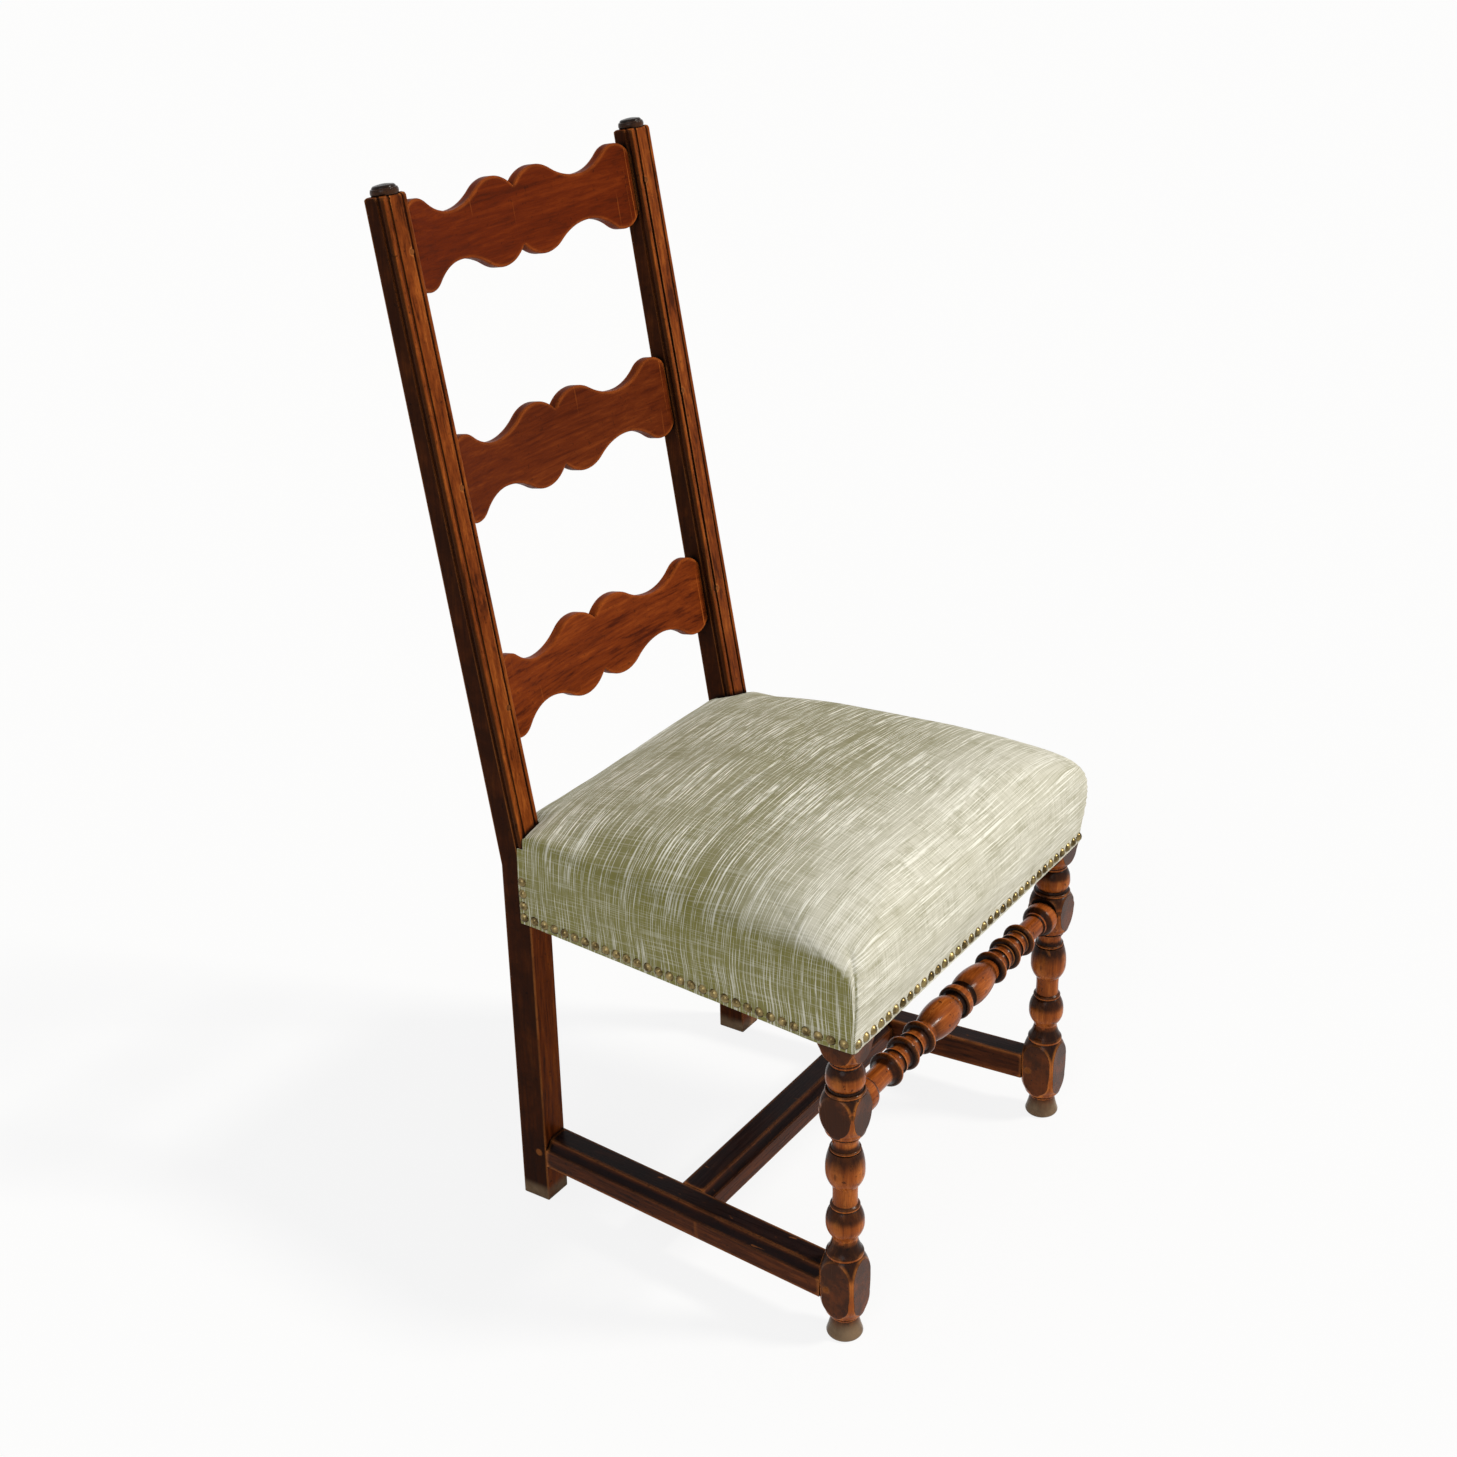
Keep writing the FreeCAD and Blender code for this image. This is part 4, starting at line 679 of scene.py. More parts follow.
@dataclass
class Joinery:
    """All wooden members of the chair."""

    arris: float = 0.0012
    slat_arris: float = 0.0016
    long_arris: float = 0.03
    turned_angle: float = 26.0

    # How far the grain moves on from one slat to the next
    BOARD_STEP = (3.7, 1.3)

    def posts(self) -> list[Member]:
        """Rear posts with their finials.

        Returns:
            The members, post and finial for each side.
        """
        members = []
        plain = {"deep": (66, 28, 10), "body": (116, 54, 19), "warm": (158, 84, 32), "waxed": (34, 16, 8),
                 "wear": 0.65, "reach": 0.0035, "scuffed": 0.02}
        black = {"deep": (12, 8, 7), "body": (20, 13, 11), "warm": (34, 22, 16), "wear": 0.15, "gloss": 0.1,
                 "rough": 0.2}
        for side in SIDES:
            # The post's side faces get painted shade
            post = Walnut(f"post_walnut_{side}", Grain.UPRIGHT, Patina.SIDES, **plain)
            button = Walnut(f"finial_walnut_{side}", Grain.UPRIGHT, **black)
            members.append(Member(f"rear_post_{side}", post, self.arris, self.long_arris))
            members.append(Member(f"finial_{side}", button))
        return members

    def slats(self) -> list[Member]:
        """The three slats of the back.

        Returns:
            The members from top to bottom.
        """
        tones = (((92, 32, 8), (112, 44, 12)), ((92, 36, 11), (116, 52, 18)), ((114, 47, 14), (142, 66, 22)))
        shared = {"deep": (72, 25, 7), "worn": (176, 92, 36), "wear": 0.7, "pits": 0.4}
        members = []
        for row, (node, (body, warm)) in enumerate(zip(("top_slat", "middle_slat", "bottom_slat"), tones)):
            shift = (row * self.BOARD_STEP[0], row * self.BOARD_STEP[1], 0.0)
            finish = Walnut(f"{node}_walnut", Grain.ACROSS, body=body, warm=warm, shift=shift, **shared)
            members.append(Member(node, finish, self.slat_arris))
        return members

    def turnings(self) -> list[Member]:
        """Front legs and front stretcher.

        Returns:
            The members, legs first.
        """
        # The turned work gets deeper grime with painted shade in its hollows
        turned = {"deep": (110, 52, 18), "body": (146, 74, 27), "warm": (190, 108, 46),
                  "worn": (206, 124, 56), "waxed": (16, 10, 8), "hollow_reach": 0.016, "grime": (0.06, 0.36),
                  "pits": 0.9, "wear": 0.45, "rough": 0.2, "gloss": 0.08}
        low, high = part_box("front_leg_right")
        block = ((low.x + high.x) / 2, (low.y + high.y) / 2, (high.x - low.x) / 2)
        members = []
        for side in SIDES:
            # Upward faces of the legs get painted shade and dark reflection
            finish = Walnut(f"leg_walnut_{side}", Grain.UPRIGHT, Patina.TOPS, shelter=(-0.04, 0.28),
                            scuffed=0.024, block=block, **turned)
            members.append(Member(f"front_leg_{side}", finish, smooth_angle=self.turned_angle))
        # Ring sides of the stretcher get painted shade
        finish = Walnut("spindle_walnut", Grain.ACROSS, Patina.SIDES, shelter=(0.1, 0.4), **turned)
        members.append(Member("front_stretcher", finish, smooth_angle=self.turned_angle))
        return members

    def bars(self) -> list[Member]:
        """Low stretchers with their coved arrises.

        Returns:
            The members, sides first.
        """
        # Upward faces of the bars get a painted dark reflection
        tones = {"deep": (40, 19, 10), "body": (72, 35, 17), "warm": (104, 54, 26), "waxed": (24, 17, 18),
                 "wear": 0.6, "rough": 0.26, "gloss": 0.04, "shelter": (0.15, 0.6)}
        finishes = {}
        for side in SIDES:
            finish = Walnut(f"side_bar_walnut_{side}", Grain.DEEP, Patina.TOPS, **tones)
            finishes[f"side_stretcher_{side}"] = finish
        finishes["cross_stretcher"] = Walnut("cross_bar_walnut", Grain.ACROSS, Patina.TOPS, **tones)
        return [Member(node, finish, self.arris, self.long_arris) for node, finish in finishes.items()]

    def build(self) -> None:
        """Make every wooden member."""
        for member in self.posts() + self.slats() + self.turnings() + self.bars():
            member.build()
        rail = Walnut("rail_walnut", Grain.ACROSS, wear=0.2)
        coat(("front_rail", "rear_rail", "side_rail_left", "side_rail_right"), rail.material())
        peg = Walnut("peg_walnut", Grain.UPRIGHT, body=(70, 34, 16), warm=(96, 50, 22), wear=0.3)
        coat(("slat_pegs", "stretcher_pegs"), peg.material())


@dataclass
class Seat:
    """Stuffed seat: velvet drawn over the pad and down over the rails, nailed round the hem."""

    # Form: distances from the frame, corners, heights of nail band and edge, and angle of shading
    outset: float = 0.0018
    flare: float = 0.0075
    inset: float = 0.175
    hem_corner: float = 0.0026
    crown_corner: float = 0.030
    rear_corner: float = 0.45
    band: float = 0.015
    edge_share: float = 0.63
    rear_fall: float = 0.008
    run_out: float = 0.012
    smooth_angle: float = 60.0

    # Stuffing: how the cover is pressed out, where it is held and how its moves are evened out
    slack: float = 0.001
    pressure: float = 4.0
    stiffness: float = 25.0
    bending: float = 2.0
    held_band: float = 1.2
    free_band: float = 3.0
    post_hold: float = 0.012
    swell_cap: float = 0.004
    settle_passes: int = 24
    frames: int = 20

    # Cut round the posts, with the height of their bend and how far they lean back above it
    wrap: float = 0.011
    post_gap: float = 0.0006
    knee: float = 0.402
    lean: float = 110.5 / 655
    tuck: float = 0.012
    hem_turn: float = 0.0012
    cut_reach: float = 0.06
    cut_merge: float = 0.000001
    tucked_face: float = 0.25

    # Seam of the front corners, the knuckle at its top and the puckers beside it
    fold_reach: float = 0.07
    fold_top: float = 0.03
    seam_end: Pair = (0.006, -0.004)
    seam_depth: float = 0.0013
    seam_width: float = 0.0017
    knuckle_depth: float = 0.001
    knuckle_width: float = 0.004
    knuckle_rise: float = 0.001
    ripple_depth: float = 0.00055
    ripple_pitch: float = 0.0085
    ripple_width: float = 0.022
    front_ripple: float = 0.35
    ripple_wander: float = 9
    ripple_noise: float = 40
    ripple_start: Pair = (0.001, 0.004)

    # Tucks at the posts, lumps of the stuffing (height and scale), drag lines and the fall to the rear
    tuck_depth: float = 0.005
    tuck_width: float = 0.011
    top_face: Pair = (0.2, 0.7)
    loose_rise: float = 0.03
    lumps: tuple[Pair, ...] = ((0.0013, 8), (0.0005, 23))
    drag_depth: float = 0.0004
    drag_noise: Triple = (60, 60, 9)
    fall_start: float = -0.02
    fall_rise: float = 0.02

    # Rows from nail band to crown: shares of height, flare, inset and corner
    ROWS = (
        (0.0, 0.0, 0.0, 0.0), (0.12, 0.3, 0.0, 0.05), (0.25, 0.66, 0.0, 0.12), (0.36, 0.94, 0.0, 0.22),
        (0.46, 1.05, 0.0, 0.36), (0.54, 1.0, 0.002, 0.58), (0.61, 0.8, 0.01, 0.95), (0.67, 0.5, 0.026, 1.4),
        (0.72, 0.2, 0.05, 1.85), (0.76, 0.0, 0.084, 2.2), (0.795, 0.0, 0.13, 2.5), (0.83, 0.0, 0.2, 2.75),
        (0.866, 0.0, 0.3, 2.9), (0.907, 0.0, 0.46, 2.9), (0.957, 0.0, 0.72, 2.5), (1.0, 0.0, 1.0, 1.4),
    )
    ROW_STEPS, PLACE_DIGITS = 3, 7
    # Rings of the crown, as shares of the last row, and counts of points round the outline
    CENTRE_SHARES = (0.82, 0.64, 0.46, 0.28, 0.1)
    FRONT_STEPS, CORNER_STEPS, LEG_STEPS, SIDE_STEPS, POST_STEPS, REAR_STEPS = 28, 14, 4, 44, 5, 24

    def __post_init__(self) -> None:
        """Read the places of frame, legs and posts from the solids."""
        self.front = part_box("front_rail")[0].y
        self.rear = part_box("rear_rail")[1].y
        leg_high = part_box("front_leg_right")[1]
        post_low, post_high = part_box("rear_post_right")
        self.half_front = leg_high.x
        self.half_rear = post_high.x
        self.post_inner = post_low.x
        self.leg_back = leg_high.y
        self.post_front = post_low.y
        self.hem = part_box("seat_cover")[0].z
        self.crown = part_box("seat_cover")[1].z
        self.edge = self.hem + self.band + (self.crown - self.hem - self.band) * self.edge_share

    def plan(self, outset: float, flare: float, corner: float) -> list[tuple[float, float]]:
        """Outline of the seat at one height, with the same count of points on each stretch at every height.

        Args:
            outset: distance outside the frame, negative inside it.
            flare: further distance outside it at the front.
            corner: radius of the front corners, which the rear ones follow in part.

        Returns:
            Points round the outline from the middle of the front.
        """
        front_x, rear_x = self.half_front + outset + flare, self.half_rear + outset
        near, far = self.front - outset - flare, self.rear + outset
        back = self.hem_corner + (corner - self.hem_corner) * self.rear_corner
        bend = max(self.leg_back, near + corner + self.run_out)
        stop = min(self.post_front, far - back - self.run_out)
        front_x -= (front_x - rear_x) * (bend - self.leg_back) / (self.post_front - self.leg_back)
        stretches = (
            ((0.0, near), (front_x - corner, near), self.FRONT_STEPS),
            ((front_x, near + corner), (front_x, bend), self.LEG_STEPS),
            ((front_x, bend), (rear_x, stop), self.SIDE_STEPS),
            ((rear_x, stop), (rear_x, far - back), self.POST_STEPS),
            ((rear_x - back, far), (0.0, far), self.REAR_STEPS),
        )
        runs = [[(a[0] + (b[0] - a[0]) * i / steps, a[1] + (b[1] - a[1]) * i / steps) for i in range(steps)]
                for a, b, steps in stretches]
        turns = [math.radians(90 * i / self.CORNER_STEPS) for i in range(self.CORNER_STEPS)]
        front_arc = [(front_x - corner * (1 - math.sin(a)), near + corner * (1 - math.cos(a))) for a in turns]
        rear_arc = [(rear_x - back * (1 - math.cos(a)), far - back * (1 - math.sin(a))) for a in turns]
        half = runs[0] + front_arc + runs[1] + runs[2] + runs[3] + rear_arc + runs[4] + [(0.0, far)]
        return half + [(-x, y) for x, y in reversed(half[1:-1])]

    def profile(self) -> list[tuple[float, ...]]:
        """Rows of the seat's form from nail band to crown, with smooth steps between the given ones.

        Returns:
            Height, flare, inset and corner of each row.
        """
        rows = []
        for index in range(len(self.ROWS) - 1):
            four = [self.ROWS[min(max(index + k, 0), len(self.ROWS) - 1)] for k in (-1, 0, 1, 2)]
            for step in range(self.ROW_STEPS):
                t = step / self.ROW_STEPS
                rows.append(tuple(
                    b + 0.5 * t * (c - a + t * (2 * a - 5 * b + 4 * c - d + t * (3 * (b - c) + d - a)))
                    for a, b, c, d in zip(*four)))
        return rows + [self.ROWS[-1]]

    def form(self) -> Piece:
        """Form of the seat from hem to crown, with a little slack for the stuffing to fill.

        Returns:
            The form, closed on top and open below.
        """
        base = self.hem + self.band
        rise = self.crown - base - self.slack
        levels = [(self.hem, self.plan(self.outset, 0.0, self.hem_corner)),
                  (self.hem + self.band / 2, self.plan(self.outset, 0.0, self.hem_corner))]
        for height, flare, inset, corner in self.profile():
            outline = self.plan(self.outset - self.inset * max(inset, 0.0), self.flare * max(flare, 0.0),
                                self.hem_corner + self.crown_corner * max(corner, 0.0))
            levels.append((base + rise * height, outline))
        last = levels[-1][1]
        middle = sum(y for _, y in last) / len(last)
        for share in self.CENTRE_SHARES:
            levels.append((base + rise, [(x * share, middle + (y - middle) * share) for x, y in last]))
        mesh = bmesh.new()
        rings = [[mesh.verts.new((x, y, height)) for x, y in outline] for height, outline in levels]
        count = len(rings[0])
        for lower, upper in zip(rings, rings[1:]):
            for a in range(count):
                b = (a + 1) % count
                mesh.faces.new((lower[a], lower[b], upper[b], upper[a]))
        centre = mesh.verts.new((0.0, middle, base + rise))
        for a in range(count):
            mesh.faces.new((rings[-1][a], rings[-1][(a + 1) % count], centre))
        data = bpy.data.meshes.new("seat_velvet")
        mesh.to_mesh(data)
        mesh.free()
        piece = bpy.data.objects.new("seat_velvet", data)
        bpy.context.scene.collection.objects.link(piece)
        return piece

    def swell(self, piece: Piece) -> None:
        """Let the stuffing press the cover out, held at the hem and the posts.

        Args:
            piece: the seat's form.
        """
        rest = [vertex.co.copy() for vertex in piece.data.vertices]
        held = piece.vertex_groups.new(name="held")
        for vertex in piece.data.vertices:
            low = vertex.co.z < self.hem + self.band * self.held_band
            behind = vertex.co.y > self.post_front - self.post_hold
            if low or (behind and abs(vertex.co.x) > self.post_inner - self.post_hold):
                held.add([vertex.index], 1.0, "REPLACE")
        cloth = piece.modifiers.new("Cloth", "CLOTH")
        cloth.settings.use_pressure = True
        cloth.settings.uniform_pressure_force = self.pressure
        cloth.settings.effector_weights.gravity = 0.0
        cloth.settings.vertex_group_mass = held.name
        cloth.settings.tension_stiffness = self.stiffness
        cloth.settings.compression_stiffness = self.stiffness
        cloth.settings.bending_stiffness = self.bending
        cloth.point_cache.frame_start = 1
        cloth.point_cache.frame_end = self.frames
        for step in range(1, self.frames + 1):
            bpy.context.scene.frame_set(step)
        activate(piece)
        bpy.ops.object.modifier_apply(modifier=cloth.name)
        bpy.context.scene.frame_set(1)
        self.settle(piece, rest)
        piece.vertex_groups.clear()

    def settle(self, piece: Piece, rest: list[Vector]) -> None:
        """Cap how far the stuffing has pressed the cover, and even it out.

        Args:
            piece: the swollen cover.
            rest: places of its points before it swelled.
        """
        moves = []
        for vertex, start in zip(piece.data.vertices, rest):
            move = vertex.co - start
            moves.append(move * min(1.0, self.swell_cap / max(move.length, self.swell_cap)))
        near = [[] for _ in rest]
        for edge in piece.data.edges:
            first, second = edge.vertices
            near[first].append(second)
            near[second].append(first)
        for _ in range(self.settle_passes):
            moves = [(move + sum((moves[other] for other in beside), Vector()) / len(beside)) / 2
                     for move, beside in zip(moves, near)]
        low, high = self.hem + self.band, self.hem + self.band * self.free_band
        for vertex, start, move in zip(piece.data.vertices, rest, moves):
            vertex.co = start + move * ease(start.z, low, high)
        LOG.info("velvet pressed out %.1f mm at most", max(move.length for move in moves) * 1000)

    def corner_folds(self, place: Vector) -> float:
        """Depth of the front corners' seam, of the knuckle at its top and of the puckers beside it.

        Args:
            place: a point on the cover.

        Returns:
            How far the point sinks along its normal.
        """
        depth = 0.0
        across, along = abs(place.x) - self.half_front, self.front - place.y
        if math.hypot(across, along) < self.fold_reach and place.z < self.edge + self.fold_top:
            off = (across - along) / math.sqrt(2)
            below = ease(place.z, self.edge + self.seam_end[0], self.edge + self.seam_end[1])
            depth += self.seam_depth * bell(off, self.seam_width) * below
            up = place.z - self.edge - self.knuckle_rise
            depth += self.knuckle_depth * bell(off, self.knuckle_width) * bell(up, self.knuckle_width)
            wander = self.ripple_wander * noise.noise(place * self.ripple_noise)
            ripple = math.sin(place.z * 2 * math.pi / self.ripple_pitch + wander)
            side = 1.0 if off < 0 else self.front_ripple
            near = ease(abs(off), *self.ripple_start) * bell(off, self.ripple_width)
            depth += self.ripple_depth * side * ripple * near * below
        return depth

    def post_tuck(self, place: Vector) -> float:
        """How far the top sinks where the velvet is tucked in round the posts.

        Args:
            place: a point on the cover.

        Returns:
            How far the point sinks.
        """
        behind = self.post_front + self.lean * max(0.0, place.z - self.knee)
        across = max(self.post_inner - abs(place.x), 0.0, abs(place.x) - self.half_rear)
        away = math.hypot(across, max(behind - place.y, 0.0))
        return self.tuck_depth * bell(away, self.tuck_width)

    def sculpt(self, piece: Piece) -> None:
        """Work the folds, the tucks and the unevenness of old stuffing into the cover.

        Args:
            piece: the cover.
        """
        mesh = piece.data
        moved = []
        for vertex in mesh.vertices:
            place, normal = vertex.co, vertex.normal
            loose = ease(place.z, self.hem + self.band, self.hem + self.band + self.loose_rise)
            lump = sum(height * noise.noise(place * scale) for height, scale in self.lumps)
            wave = noise.noise(Vector([part * scale for part, scale in zip(place, self.drag_noise)]))
            drag = self.drag_depth * wave * (1 - abs(normal.z))
            target = place + normal * (loose * lump + drag - self.corner_folds(place))
            target.z -= self.post_tuck(place) * ease(normal.z, *self.top_face)
            behind = ease(place.y, self.fall_start, self.post_front)
            target.z -= self.rear_fall * behind * ease(place.z, self.edge, self.edge + self.fall_rise)
            moved.append(target)
        for vertex, target in zip(mesh.vertices, moved):
            vertex.co = target

    def cut_posts(self, piece: Piece) -> None:
        """Cut the cover round the posts, and turn its edges in.

        Args:
            piece: the worked cover.
        """
        mesh = bmesh.new()
        mesh.from_mesh(piece.data)
        front, reach = self.post_front - self.post_gap, self.cut_reach
        for sign in SIDES.values():
            inner, outer = self.post_inner - self.post_gap, self.half_rear + self.post_gap
            planes = (
                (Vector((0.0, front, self.knee)), Vector((0.0, 1.0, -self.lean))),
                (Vector((sign * inner, 0.0, 0.0)), Vector((1.0, 0.0, 0.0))),
                (Vector((sign * outer, 0.0, 0.0)), Vector((1.0, 0.0, 0.0))),
                (Vector((0.0, self.post_front + self.wrap, 0.0)), Vector((0.0, 1.0, 0.0))),
            )
            for point, normal in planes:
                near = [face for face in mesh.faces
                        if sign * face.calc_center_median().x > inner - reach
                        and face.calc_center_median().y > front - reach]
                parts = {*near, *(edge for face in near for edge in face.edges),
                         *(vertex for face in near for vertex in face.verts)}
                bmesh.ops.bisect_plane(mesh, geom=list(parts), plane_co=point, plane_no=normal,
                                       dist=self.cut_merge)
            gone = []
            for face in mesh.faces:
                middle = face.calc_center_median()
                across = sign * middle.x
                behind = middle.y > front + self.lean * max(0.0, middle.z - self.knee)
                in_post = inner < across < outer and behind
                past_flap = across >= outer and middle.y > self.post_front + self.wrap
                if in_post or past_flap:
                    gone.append(face)
            bmesh.ops.delete(mesh, geom=gone, context="FACES")
        self.turn_edges(mesh)
        bmesh.ops.recalc_face_normals(mesh, faces=mesh.faces)
        mesh.normal_update()
        top = max(mesh.faces, key=lambda face: face.calc_center_median().z)
        if top.normal.z < 0:
            bmesh.ops.reverse_faces(mesh, faces=mesh.faces)
        mesh.to_mesh(piece.data)
        mesh.free()

    def turn_edges(self, mesh: bmesh.types.BMesh) -> None:
        """Turn the hem in under the nails, and the cut edges down beside the posts.

        Args:
            mesh: the cover's open mesh.
        """
        rims = [edge for edge in mesh.edges if edge.is_boundary]
        normals = {vertex: vertex.normal.copy() for edge in rims for vertex in edge.verts}
        places = {vertex.co.to_tuple(self.PLACE_DIGITS): normals[vertex] for vertex in normals}
        grown = bmesh.ops.extrude_edge_only(mesh, edges=rims)["geom"]
        for vertex in (item for item in grown if isinstance(item, bmesh.types.BMVert)):
            normal = places[vertex.co.to_tuple(self.PLACE_DIGITS)]
            if normal.z > self.tucked_face and vertex.co.z > self.hem + self.band * 2:
                vertex.co.z -= self.tuck
            else:
                level = Vector((normal.x, normal.y, 0.0))
                vertex.co -= level.normalized() * self.hem_turn

    def lay_weave(self, piece: Piece) -> None:
        """Map the cloth: lines run from side to side over the top, down the sides and across the front.

        Args:
            piece: the finished cover.
        """
        mesh = piece.data
        for old in list(mesh.uv_layers):
            mesh.uv_layers.remove(old)
        weave = mesh.uv_layers.new(name=Velvet.map_name)
        slope = (self.half_front - self.half_rear) / (self.post_front - self.leg_back)
        for face in mesh.polygons:
            x, y, _ = face.center
            from_front = y - self.front
            from_side = self.half_front - slope * max(0.0, y - self.leg_back) - abs(x)
            from_rear = self.rear - y
            nearest = min(from_front, from_side, from_rear)
            for loop in face.loop_indices:
                place = mesh.vertices[mesh.loops[loop].vertex_index].co
                drop = max(0.0, self.edge - place.z)
                u, v = place.x, place.y
                if nearest == from_side:
                    u += math.copysign(drop, place.x)
                elif nearest == from_front:
                    v -= drop
                else:
                    v += drop
                weave.data[loop].uv = (u, v)

    def build(self) -> None:
        """Make the velvet seat and let it stand for cover and stuffing."""
        piece = self.form()
        self.swell(piece)
        apply_modifier(piece, "SUBSURF", levels=1, render_levels=1)
        self.sculpt(piece)
        self.cut_posts(piece)
        self.lay_weave(piece)
        smooth(piece, self.smooth_angle)
        dress(piece, Velvet().material(), "velvet", "seat_cover", "seat_stuffing")


@dataclass
class Nails:
    """Domed brass nails along the hem."""

    rows: tuple[str, ...] = ("nails_front", "nails_left", "nails_right", "nails_rear")

    def build(self) -> None:
        """Give the nails their brass."""
        coat(self.rows, Brass().material())


@dataclass
class Underside:
    """Jute straps and ground cloth that carry the stuffing."""

    thickness: float = 0.0014
    wave: float = 0.0003
    wave_reach: float = 0.045
    long_cuts: int = 90
    cross_cuts: int = 6
    edge_slack: float = 0.0005
    smooth_angle: float = 40.0
    top_face: float = 0.9

    STRAP = Jute("strap_jute", (150, 126, 92), (84, 64, 42), 0.003)
    GROUND = Jute("ground_jute", (158, 132, 96), (96, 76, 50), 0.002)

    def rooms(self, node: str, axis: int) -> list[tuple[Vector, Vector]]:
        """Boxes of the separate straps of one layer, from one side to the other.

        Args:
            node: name of the layer's solid.
            axis: 0 to tell straps apart across, 1 in depth.

        Returns:
            Lowest and highest corner of each strap.
        """
        corners = [vertex.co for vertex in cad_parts[node].data.vertices]
        places = sorted({round(corner[axis], 4) for corner in corners})
        boxes = []
        for start, end in zip(places[0::2], places[1::2]):
            own = [c for c in corners if start - self.edge_slack <= c[axis] <= end + self.edge_slack]
            boxes.append((Vector([min(c[i] for c in own) for i in range(3)]),
                          Vector([max(c[i] for c in own) for i in range(3)])))
        return boxes

    def strap(self, name: str, room: tuple[Vector, Vector], run: int, crossings: list[float],
              over: int) -> Piece:
        """Lay one strap, woven over and under the straps that it crosses.

        Args:
            name: name of the piece.
            room: lowest and highest corner of the strap.
            run: 0 for a strap from side to side, 1 for one from front to rear.
            crossings: middles of the straps that it crosses.
            over: even to go under the first one, odd to go over it.

        Returns:
            The strap.
        """
        low, high = room
        middle, span = (low + high) / 2, high - low
        cuts = (self.cross_cuts, self.long_cuts) if run else (self.long_cuts, self.cross_cuts)
        bpy.ops.object.select_all(action="DESELECT")
        bpy.ops.mesh.primitive_grid_add(x_subdivisions=cuts[0], y_subdivisions=cuts[1], size=1.0)
        piece = bpy.context.object
        piece.name = name
        for vertex in piece.data.vertices:
            place = Vector((middle.x + vertex.co.x * span.x, middle.y + vertex.co.y * span.y, middle.z))
            for index, crossing in enumerate(crossings):
                near = ease(abs(place[run] - crossing), self.wave_reach, 0.0)
                place.z += near * self.wave * (1 if (index + over) % 2 else -1)
            vertex.co = place
        apply_modifier(piece, "SOLIDIFY", thickness=self.thickness, offset=0.0)
        smooth(piece, self.smooth_angle)
        return piece

    def ground_cloth(self) -> None:
        """Lay the ground cloth over the straps."""
        piece = merged_copy("hessian", "ground_cloth")
        dress(piece, self.GROUND.material(), "hessian", "hessian")

    def build(self) -> None:
        """Make straps and ground cloth."""
        jute = self.STRAP.material()
        long_rooms, cross_rooms = self.rooms("webbing_lengthwise", 0), self.rooms("webbing_crosswise", 1)
        middles = {0: [(low.x + high.x) / 2 for low, high in long_rooms],
                   1: [(low.y + high.y) / 2 for low, high in cross_rooms]}
        layers = (
            ("strap_long", "webbing_lengthwise", long_rooms, 1, ["front_rail", "rear_rail"]),
            ("strap_cross", "webbing_crosswise", cross_rooms, 0, ["side_rail_left", "side_rail_right"]),
        )
        for name, node, rooms, run, rails in layers:
            for index, room in enumerate(rooms):
                piece = self.strap(f"{name}_{index + 1}", room, run, middles[run], index + run)
                dress(piece, jute, "webbing", node)
        self.ground_cloth()


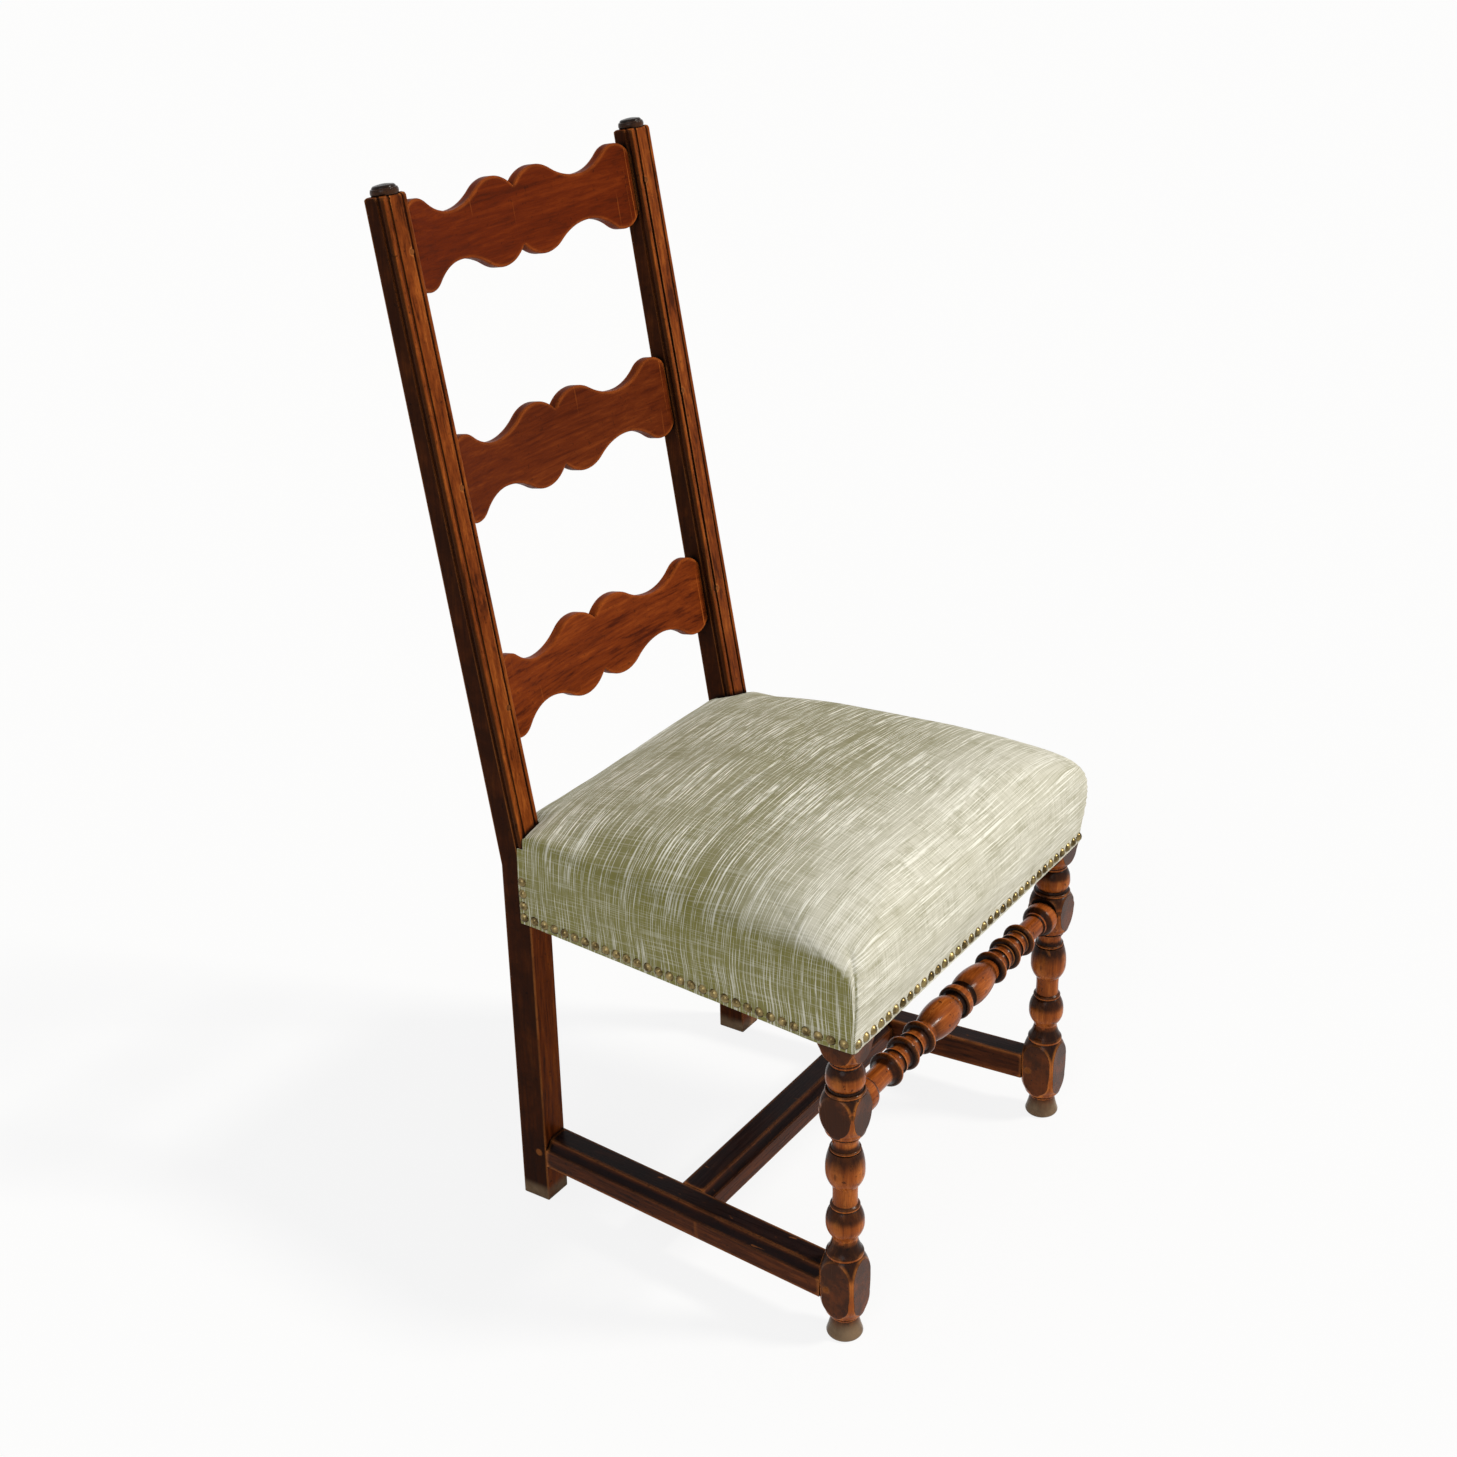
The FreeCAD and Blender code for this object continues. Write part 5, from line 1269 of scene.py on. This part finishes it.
@dataclass
class Studio:
    """Camera, lights and floor."""

    place: Triple = (-1.6930, -1.1064, 1.4550)
    azimuth: float = math.radians(-56.29)
    elevation: float = math.radians(25.10)
    roll: float = math.radians(1.26)
    lens: float = 54.18
    sensor: float = 36.0
    soft_light: float = 0.32
    floor_size: float = 60.0
    floor_glow: float = 0.86
    floor_drop: float = 0.0005
    floor_tone: tuple[float, float, float, float] = (0.85, 0.85, 0.85, 1.0)

    # Lamps: direction to the lamp, strength, spread in degrees and tone
    LAMPS = {"key": ((0.45, -0.85, 0.95), 2.5, 10.0, (255, 251, 242)),
             "fill": ((-0.9, -0.15, 0.55), 0.75, 30.0, (244, 248, 255))}

    def camera(self) -> None:
        """Stand the camera where the picture was taken from."""
        data = bpy.data.cameras.new("camera")
        data.lens = self.lens
        data.sensor_width = self.sensor
        camera = bpy.data.objects.new("camera", data)
        bpy.context.scene.collection.objects.link(camera)
        back = Vector((math.sin(self.azimuth) * math.cos(self.elevation),
                       -math.cos(self.azimuth) * math.cos(self.elevation), math.sin(self.elevation)))
        right = (-back).cross(Vector((0, 0, 1))).normalized()
        down = (-back).cross(right)
        level, tilt = math.cos(self.roll), math.sin(self.roll)
        side = right * level + down * tilt
        up = right * tilt - down * level
        matrix = Matrix((side, up, back)).transposed().to_4x4()
        matrix.translation = Vector(self.place)
        camera.matrix_world = matrix
        bpy.context.scene.camera = camera

    def sun(self, name: str, towards: Triple, power: float, spread: float, tone: Tone) -> None:
        """Hang one broad, distant lamp.

        Args:
            name: name of the lamp.
            towards: direction from the chair to the lamp.
            power: its strength.
            spread: angle that the lamp fills, in degrees.
            tone: colour of its light.
        """
        data = bpy.data.lights.new(name, "SUN")
        data.energy = power
        data.angle = math.radians(spread)
        data.color = tint(tone)[:3]
        lamp = bpy.data.objects.new(name, data)
        bpy.context.scene.collection.objects.link(lamp)
        lamp.rotation_euler = (-Vector(towards)).to_track_quat("-Z", "Y").to_euler()

    def seen(self, board: NodeBoard) -> Socket:
        """Mask of the rays that show the backdrop: seen straight, mirrored or through glass.

        Args:
            board: nodes of the world or of the floor's material.

        Returns:
            The mask, 1 where the backdrop shows.
        """
        path = board.node("ShaderNodeLightPath", {}).outputs
        mirrored = board.math("MAXIMUM", path["Is Glossy Ray"], path["Is Transmission Ray"])
        return board.math("MAXIMUM", path["Is Camera Ray"], mirrored)

    def sky(self) -> None:
        """Soft light from all round, and white behind the chair."""
        world = bpy.data.worlds.new("studio")
        bpy.context.scene.world = world
        world.use_nodes = True
        board = NodeBoard(world.node_tree)
        soft = board.node("ShaderNodeBackground", {"Color": WHITE, "Strength": self.soft_light})
        white = board.node("ShaderNodeBackground", {"Color": WHITE, "Strength": 1.0})
        inputs = {0: self.seen(board), 1: soft.outputs[0], 2: white.outputs[0]}
        mixed = board.node("ShaderNodeMixShader", inputs)
        board.tree.links.new(mixed.outputs[0], board.tree.nodes["World Output"].inputs["Surface"])

    def floor(self) -> None:
        """Lay a plain pale floor that keeps the chair's shadow."""
        bpy.ops.object.select_all(action="DESELECT")
        bpy.ops.mesh.primitive_plane_add(size=self.floor_size, location=(0.0, 0.0, -self.floor_drop))
        plane = bpy.context.object
        plane.name = "floor"
        board = MaterialBoard("floor_white")
        board.shade(Base_Color=self.floor_tone, Roughness=0.9, Specular_IOR_Level=0.1)
        glow = board.node("ShaderNodeEmission", {"Color": WHITE, "Strength": 1.0})
        seen = board.times(self.seen(board), self.floor_glow)
        mixed = board.node("ShaderNodeMixShader", {0: seen, 1: board.shader.outputs[0], 2: glow.outputs[0]})
        board.tree.links.new(mixed.outputs[0], board.tree.nodes["Material Output"].inputs["Surface"])
        plane.data.materials.append(board.material)

    def build(self) -> None:
        """Set up the studio."""
        self.camera()
        self.sky()
        for name, lamp in self.LAMPS.items():
            self.sun(name, *lamp)
        self.floor()
        bpy.context.scene.view_settings.view_transform = "Standard"
        LOG.info("studio set up")


def main() -> None:
    """Build the chair's looks and the studio."""
    logging.basicConfig(level=logging.INFO, format="%(message)s")
    Joinery().build()
    Seat().build()
    Nails().build()
    Underside().build()
    Studio().build()


if __name__ == "__main__":
    main()
